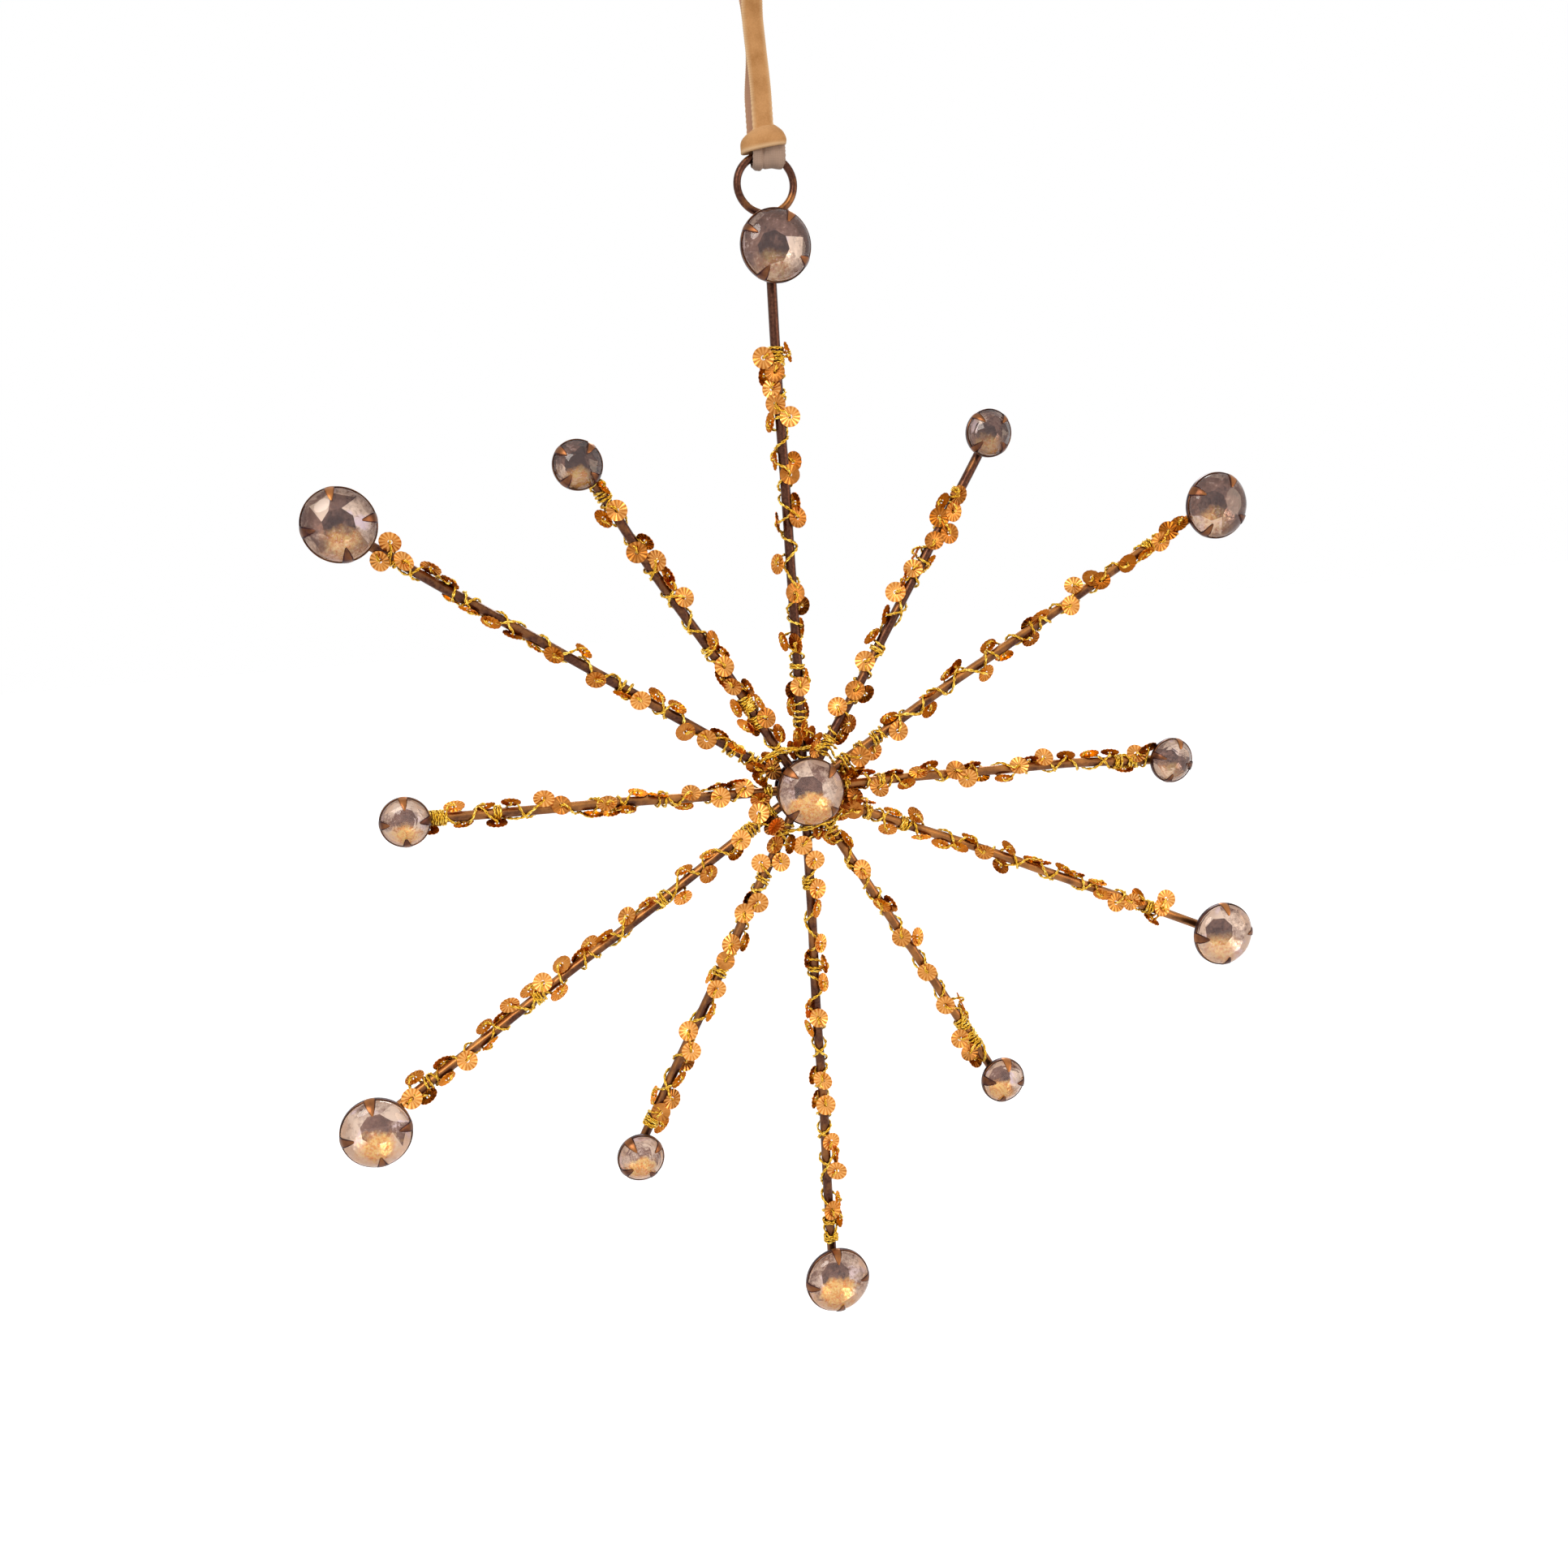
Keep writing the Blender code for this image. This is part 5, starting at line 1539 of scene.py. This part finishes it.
        (50.0, -2.3, 0.4, 0.2), (54.4, 1.2, 0.7, 0.1), (59.3, 1.6, 0.3, 0.2, B), (63.3, 1.7, 0.3, 0.1, S),
        (68.2, 1.9, 0.5, 0.2, S), (72.9, 1.8, 0.2, 0.1), (77.4, 1.5, 0.3, 0.0, B), (78.4, -1.1, 0.3, 0.1),
        (82.7, -1.6, 0.45, 0.4), (87.7, -0.1, 0.75, 0.8), (91.4, -2.0, 0.85, 0.6), (91.6, 2.1, 0.9, 0.6),
        (5.3, 2.7, 0.5, 0.1, B),
    ),
    "upper_left_short": (
        (4.0, -2.2, 0.5, 0.5), (8.6, -2.0, 0.6, 0.3), (12.8, -1.7, 0.9, 0.3), (13.0, 1.6, 0.5, 0.4, B),
        (14.1, 2.8, 0.5, 0.7, S), (16.2, -2.4, 0.3, 0.4), (18.3, 2.1, 0.4, 0.3), (22.2, 0.2, 0.8, 0.5),
        (25.0, 1.2, 0.4, 0.2, B), (26.5, -0.8, 0.95, 0.6), (32.2, -2.1, 0.6, 0.5, S), (42.6, -2.3, 0.9, 0.7),
        (46.6, -1.8, 0.35, 0.4, S), (51.6, -2.1, 0.85, 0.7), (55.2, 0.2, 1.0, 0.2), (56.2, -2.5, 0.6, 0.2, B),
        (64.0, -1.4, 1.0, 0.6), (64.6, 1.6, 0.6, 0.0), (69.3, -2.0, 0.25, 0.0, S), (20.1, -2.3, 0.4, 0.6),
        (29.6, -2.3, 0.4, 0.5, B), (48.2, -2.4, 0.4, 0.3, B),
    ),
}
COIL_ROWS = {
    "top_long": ((9.0, 10.8, 2), (20.4, 21.6, 2), (81.0, 84.6, 5)),
    "upper_right_short": ((6.6, 7.6, 2), (27.4, 28.4, 2), (64.2, 65.4, 3)),
    "upper_right_long": ((4.8, 6.4, 2), (9.4, 10.6, 1), (13.0, 14.4, 2), (86.5, 88.0, 2)),
    "right_short": ((11.0, 13.0, 2), (65.8, 67.0, 2), (68.8, 70.6, 3)),
    "lower_right_long": ((10.0, 11.0, 2), (18.2, 19.6, 3), (80.2, 81.4, 2)),
    "lower_right_short": ((4.6, 7.8, 3), (58.6, 61.0, 3), (62.0, 66.6, 5)),
    "bottom_long": ((14.6, 16.6, 3), (33.6, 35.0, 2), (91.0, 92.0, 2), (94.6, 96.0, 3)),
    "lower_left_short": ((15.4, 17.0, 2), (37.0, 38.6, 2), (71.0, 73.0, 3)),
    "lower_left_long": ((8.6, 11.0, 3), (31.8, 33.2, 2), (63.6, 65.4, 3), (91.0, 92.6, 2)),
    "left_short": ((2.6, 4.6, 3), (24.0, 26.8, 2), (57.8, 59.4, 3), (68.8, 71.2, 5)),
    "upper_left_long": ((5.8, 9.4, 3), (12.4, 13.8, 2), (37.4, 40.4, 2), (88.0, 89.4, 2)),
    "upper_left_short": ((11.4, 14.4, 5), (15.4, 18.8, 6), (30.6, 31.6, 2), (66.6, 69.0, 3)),
}


THREAD_SEED = 1700


@dataclass
class SequinWinding:
    """The gold thread of one arm, wound out and back, with its sequins on it."""

    arm: Arm
    coil_radius: float = 0.00136
    usual_turn: float = 0.0078
    seat_depth: float = 0.0015
    first_height: float = 0.0036
    last_height: float = 0.0034
    first_angle: float = 0.7
    step_angle: float = 0.75
    face_step: float = 0.0016
    hole_step: float = 0.0012
    last_turn: float = 0.8
    tightest_turn: float = 1.6
    slide_limit: float = 0.0010
    nod_degrees: float = 14.0
    hole_depths: tuple[float, float, float, float] = (-0.00045, 0.0, 0.00050, 0.00042)

    def pose(self, seat: Seat, number: int) -> tuple[Vector, Matrix]:
        """Return a sequin's middle and its rotation, in the arm's frame.

        The seats were measured in a plane 1.5 mm in front of the rods. A sequin that lies further back is
        moved back along the line of sight, so that it still shows where it was measured.

        Args:
            seat: The seat.
            number: Its number on the arm, which gives it its own small tilts.

        Returns:
            The middle of the sequin, and its rotation: its Z is square to its stamped face.
        """
        rng = random.Random(self.arm.index * 100 + number)
        sight = self.arm.frame.to_3x3().transposed() @ SIGHT
        camera_turn = math.atan2(-sight.x, -sight.y)
        off_rod = seat.across_mm * MM - self.arm.bend(seat.along)
        side = 1 if off_rod >= 0 else -1
        angle = math.acos(min(seat.share, 0.985))
        if rng.random() < 0.2 and abs(off_rod) > 0.0012:
            angle = -angle
        angle += camera_turn * (-side if seat.lay is Lay.BEHIND else side)
        slide = (abs(off_rod) - self.seat_depth * math.sin(angle)) / max(math.cos(angle), 0.2)
        slide = max(-self.slide_limit, min(self.slide_limit, slide))
        depth = self.seat_depth * math.cos(angle) - slide * math.sin(angle)
        if seat.lay is Lay.BEHIND:
            depth, angle = -depth, -angle
        depth += rng.uniform(0.0, 0.0003) * (1 if depth > 0 else -1)
        shift = sight * (self.seat_depth - depth)
        middle = Vector((seat.across_mm * MM, self.seat_depth, seat.along)) + shift
        nod = math.radians(rng.uniform(-self.nod_degrees, self.nod_degrees))
        lean = Matrix.Rotation(-angle * side, 3, "Z") @ Matrix.Rotation(math.radians(-90) + nod, 3, "X")
        spin = Matrix.Rotation(rng.uniform(0, math.tau), 3, "Z")
        flip = Matrix.Rotation(math.pi, 3, "X") if seat.lay is Lay.SMOOTH else Matrix.Identity(3)
        return middle, lean @ flip @ spin

    def thread_line(self, stops: Sequence[tuple[Any, Optional[Vector], Optional[Vector]]]) -> list[Vector]:
        """Return the thread's middle line through every sequin's hole, in the arm's frame.

        Args:
            stops: For each seat its middle and the direction out of the rod's side of its face, and for
                each coil None twice.

        Returns:
            Points of the line.
        """
        rng = random.Random(THREAD_SEED + self.arm.index)
        ordered = sorted(stops, key=lambda stop: stop[0].along)
        out = [stop for number, stop in enumerate(ordered) if number % 2 == 0 or isinstance(stop[0], Coil)]
        back = [stop for number, stop in enumerate(ordered) if number % 2 == 1 and not isinstance(stop[0], Coil)]
        angle, height = self.first_angle, self.first_height
        start = Vector((math.sin(angle), math.cos(angle), 0.0)) * self.coil_radius
        points = [start + Vector((self.arm.bend(height), 0.0, height))]
        for seat, middle, face in [*out, *reversed(back)]:
            if middle is None:
                goal = angle + math.tau * 0.4
                finish = goal + math.tau * seat.turns
                self.wind(points, rng, angle, goal, height, seat.along_mm * MM)
                self.wind(points, rng, goal, finish, seat.along_mm * MM, seat.end_mm * MM)
                angle, height = finish, seat.end_mm * MM
                continue
            off_rod = middle.x - self.arm.bend(middle.z)
            turn = (math.atan2(off_rod, middle.y) - angle) % math.tau
            gap = abs(middle.z - height)
            turns = max(0, round(gap / self.usual_turn - turn / math.tau))
            if turn + turns * math.tau < self.tightest_turn and gap > self.hole_step:
                turns += 1
            goal = angle + turn + turns * math.tau
            reach = min(0.55, (goal - angle) * 0.25)
            way = 1 if middle.z >= height else -1
            self.wind(points, rng, angle, goal - reach, height, middle.z - way * min(self.hole_step, gap * 0.3))
            toward = Vector((-off_rod, 0.0, way * self.face_step))
            toward = (toward - face * toward.dot(face)).normalized()
            # Up through the hole, over the edge of it, and down across the face.
            points += [middle + face * depth for depth in self.hole_depths]
            points[-1] += toward * self.hole_step
            angle, height = goal + self.step_angle, middle.z + way * self.face_step
        self.wind(points, rng, angle, angle + math.tau * self.last_turn, height, self.last_height)
        return smooth_line(points)

    def wind(
        self, points: list[Vector], rng: random.Random, start: float, end: float, low: float, high: float
    ) -> None:
        """Add points of a helix round the rod.

        Args:
            points: The thread's points so far.
            rng: Gives each point its small shift.
            start: Angle where the helix starts.
            end: Angle where it ends.
            low: Height where it starts.
            high: Height where it ends.
        """
        steps = max(1, round((end - start) / self.step_angle))
        for share in (step / steps for step in range(1, steps + 1)):
            angle = start + (end - start) * share
            radius = self.coil_radius + rng.uniform(-0.00002, 0.00010)
            height = low + (high - low) * share + rng.uniform(-0.00012, 0.00012)
            points.append(Vector((math.sin(angle) * radius + self.arm.bend(height), math.cos(angle) * radius, height)))

    def build(self, thread_tool: WireTool, sequin_tool: SequinTool, pattern: bpy.types.Object) -> None:
        """Make the thread and its sequins.

        Args:
            thread_tool: Geometry Nodes tree that twists the plies.
            sequin_tool: Geometry Nodes tree that sets the sequins.
            pattern: The sequin that is repeated.
        """
        name = self.arm.name
        matrix = self.arm.frame
        seats = [Seat(*row) for row in SEAT_ROWS[name]]
        poses = [self.pose(seat, number) for number, seat in enumerate(seats)]
        stops: list[tuple[Any, Optional[Vector], Optional[Vector]]] = []
        for seat, (middle, turn) in zip(seats, poses):
            face = turn @ Vector((0.0, 0.0, 1.0))
            outward = Vector((middle.x - self.arm.bend(middle.z), middle.y, 0.0))
            stops.append((seat, middle, face if face.dot(outward) > 0 else -face))
        stops += [(Coil(*row), None, None) for row in COIL_ROWS[name]]
        line = [matrix @ point for point in self.thread_line(stops)]
        mesh = thread_tool.run(f"thread_{name}", line_mesh(line), LUREX_FILM, **LUREX)
        fix_piece(f"thread_{name}", mesh, (f"sequin_thread_{name}",))
        guide = bpy.data.meshes.new("seats")
        guide.from_pydata([tuple(matrix @ middle) for middle, _ in poses], [], [])
        set_vectors(guide, "facing", [(matrix.to_3x3() @ turn).to_euler() for _, turn in poses])
        # Painted light: tone and the arm's shine say how brightly each sequin is painted lit.
        set_attribute(guide, "tone", [seat.tone + self.arm.shine for seat in seats])
        sizes = {"Smallest": 0.99, "Largest": 1.08, "Seed": self.arm.index}
        mesh = sequin_tool.run(f"sequins_{name}", guide, SEQUIN_FILM, Sequin=pattern, **sizes)
        fix_piece(f"sequins_{name}", mesh)


def sequin_pattern(radius: float = 0.0020, hole: float = 0.00042, ridges: int = 14) -> bpy.types.Object:
    """Return the sequin that is repeated: a thin dished disc, stamped with rays round its hole.

    Args:
        radius: Radius of the disc.
        hole: Radius of its hole.
        ridges: Number of rays.

    Returns:
        The object that Geometry Nodes repeat, to be removed afterwards.
    """
    bm = bmesh.new()
    ridge_layer = bm.verts.layers.float.new("ridge")
    rings = []
    # Radius, height of rays and grooves, and how far these are ridge: the hole, the edge's top and its foot.
    for distance, heights, ridge in (
        (hole, (0.0, 0.0), (0.5, 0.5)),
        (radius, (0.00016 + 0.00007, 0.00016 - 0.00005), (1.0, 0.0)),
        (radius, (0.00016 + 0.00007 - 0.00013, 0.00016 - 0.00005 - 0.00013), (0.40, 0.40)),
    ):
        ring = []
        for i, at in enumerate(level_circle(2 * ridges, distance, 0.0)):
            vert = bm.verts.new((at.x, at.y, heights[i % 2]))
            vert[ridge_layer] = ridge[i % 2]
            ring.append(vert)
        rings.append(ring)
    for one, two in zip(rings, [*rings[1:], rings[0]]):
        join_rings(bm, one, two)
    return new_object("sequin_pattern", mesh_of(bm, "sequin_pattern"))


@dataclass
class HubBridging:
    """Gold thread led from arm to arm in front of the rods, round the middle cup."""

    # Corners of each lead: degrees clockwise from the top, millimetres from the middle, and millimetres in
    # front of the rods' middle.
    leads: tuple[tuple[tuple[float, float, float], ...], ...] = (
        ((-62, 11.5, 1.5), (-47, 11.2, 1.6), (-30, 10.2, 1.9), (0, 8.9, 1.9), (29, 10.4, 1.8), (44, 10.6, 0.4)),
        ((-58, 12.0, 0.6), (-44, 10.6, 1.8), (-28, 9.4, 2.0), (2, 8.6, 2.1), (31, 9.8, 2.0), (47, 8.9, 1.9)),
        ((60, 9.2, 1.6), (76, 8.6, 0.2), (91, 8.7, 1.6), (104, 9.3, -0.6), (119, 8.6, -1.5), (137, 8.4, 0.3)),
        ((-142, 11.4, 1.5), (-152, 9.6, 1.8), (-171, 8.0, 2.0), (163, 7.7, 1.9), (146, 8.8, 1.6), (132, 9.4, 0.2)),
        ((-140, 10.4, 0.3), (-158, 8.8, 1.7), (-178, 8.3, 2.1), (158, 8.2, 1.7), (150, 9.8, 1.4), (122, 9.0, 1.5)),
        ((-90, 8.6, 1.5), (-101, 8.3, 0.4), (-118, 8.6, 1.6), (-134, 8.4, 0.5), (-150, 8.3, -1.5)),
        ((-62, 8.9, 1.5), (-75, 8.5, 0.2), (-90, 8.8, -1.5), (-104, 8.5, -0.4), (-121, 9.0, 1.5)),
        ((90, 9.6, 1.5), (74, 9.0, 0.5), (58, 8.4, -1.5), (43, 8.5, -0.2), (30, 8.7, 1.5), (13, 8.6, 0.4)),
    )

    def build(self, thread_tool: WireTool) -> None:
        """Make the threads round the middle.

        Args:
            thread_tool: Geometry Nodes tree that twists the plies.
        """
        for number, corners in enumerate(self.leads):
            name = f"bridge_thread_{number}"
            points = [along(math.radians(90 - turn), out * MM) + FRONT * (depth * MM) for turn, out, depth in corners]
            mesh = thread_tool.run(name, line_mesh(smooth_line(points)), LUREX_FILM, **LUREX)
            fix_piece(name, mesh)


# Camera and studio


@dataclass(frozen=True)
class PhotographCamera:
    """The camera of the photograph, found from the thirteen stones and the ring."""

    eye: tuple[float, float, float] = (-0.082997, -0.306254, -0.105142)
    right: tuple[float, float, float] = (0.963547, -0.259334, -0.065757)
    up: tuple[float, float, float] = (0.106901, 0.147884, 0.983210)
    out: tuple[float, float, float] = (-0.245255, -0.954399, 0.170216)
    focal_px: float = 1908.6
    image_px: int = 1932
    sensor_mm: float = 36.0

    def build(self) -> None:
        """Make the camera and let the scene look through it."""
        data = bpy.data.cameras.new("photograph_camera")
        data.sensor_width = self.sensor_mm
        data.lens = self.sensor_mm * self.focal_px / self.image_px
        data.clip_start, data.clip_end = 0.01, 50.0
        camera = bpy.data.objects.new("photograph_camera", data)
        bpy.context.scene.collection.objects.link(camera)
        turn = Matrix((self.right, self.up, self.out)).transposed().to_4x4()
        camera.matrix_world = Matrix.Translation(self.eye) @ turn
        bpy.context.scene.camera = camera


def seen_directly(add: Adder) -> bpy.types.Node:
    """Tell the rays that show the background: from the camera, off gloss and through glass.

    Args:
        add: Adds a node.

    Returns:
        A node that is 1 for such a ray.
    """
    path = add("ShaderNodeLightPath").outputs
    first = add(MATH, {0: path["Is Camera Ray"], 1: path["Is Glossy Ray"]}, operation="MAXIMUM")
    return add(MATH, {0: first, 1: path["Is Transmission Ray"]}, operation="MAXIMUM")


@dataclass(frozen=True)
class Lamp:
    """One soft lamp of the studio."""

    name: str
    place: tuple[float, float, float]
    watts: float
    width: float
    colour: str

    def build(self) -> None:
        """Make the lamp and turn it to the star's middle."""
        data = bpy.data.lights.new(self.name, "AREA")
        data.shape = "DISK"
        data.energy = self.watts
        data.size = self.width
        data.color = linear(self.colour)[:3]
        light = bpy.data.objects.new(self.name, data)
        bpy.context.scene.collection.objects.link(light)
        turn = (CENTRE - Vector(self.place)).to_track_quat("-Z", "Y").to_matrix().to_4x4()
        light.matrix_world = Matrix.Translation(self.place) @ turn


@dataclass(frozen=True)
class Studio:
    """White room, pale floor far below the hanging star, and soft lamps."""

    floor_height: float = -1.6
    floor_half: float = 20.0
    ambient: float = 0.50
    lamps: tuple[Lamp, ...] = (
        Lamp("key_lamp", (-0.55, -0.80, 0.55), 5.5, 0.60, "#FFF8F0"),
        Lamp("warm_lamp", (0.80, -0.55, -0.05), 2.4, 0.60, "#FFE6C8"),
        Lamp("back_lamp", (0.30, 0.80, 0.45), 3.0, 0.40, "#FFFFFF"),
    )

    def build(self) -> None:
        """Make the world, the floor and the lamps."""
        scene = bpy.context.scene
        scene.view_settings.view_transform = "Standard"
        world = bpy.data.worlds.new("white_room")
        world.use_nodes = True
        scene.world = world
        add = partial(add_node, world.node_tree)
        strength = add(RAMP, {"Value": seen_directly(add), "To Min": self.ambient, "To Max": 1.0})
        plug(world.node_tree.nodes["Background"], {"Color": "#FFFFFF", "Strength": strength})
        bm = bmesh.new()
        bmesh.ops.create_grid(bm, x_segments=1, y_segments=1, size=self.floor_half)
        mesh = mesh_of(bm, "pale_floor")
        if mesh.polygons[0].normal.z < 0.0:
            mesh.flip_normals()
        mesh.transform(Matrix.Translation((0, 0, self.floor_height)))
        mesh.materials.append(FloorPaint().material)
        new_object("pale_floor", mesh)
        for lamp in self.lamps:
            lamp.build()


STONE_SEED = 60
CENTRE_STONE = {"claw_turn": 45, "seed": 77, "glow": 2.4, "paleness": -0.04}


def main() -> None:
    """Dress the whole ornament."""
    logging.basicConfig(level=logging.INFO, format="%(name)s: %(message)s")
    PhotographCamera().build()
    Studio().build()
    VelvetHanger().build()
    BronzeFrame().build()
    for arm in ARMS:
        cut = StoneCut.HIGH_DOME if arm.is_long else StoneCut.OCTAGON_TABLE
        seed = STONE_SEED + arm.index
        ClawSetting(arm.name, arm.stone_place, cut, arm.claw_turn, seed, arm.glow, arm.paleness).build()
    ClawSetting("centre", CENTRE.copy(), StoneCut.HIGH_DOME, **CENTRE_STONE).build()
    thread_tool, sequin_tool, pattern = WireTool(2), SequinTool(), sequin_pattern()
    for arm in ARMS:
        SequinWinding(arm).build(thread_tool, sequin_tool, pattern)
    HubBridging().build(thread_tool)
    bpy.data.objects.remove(pattern)


if __name__ == "__main__":
    main()
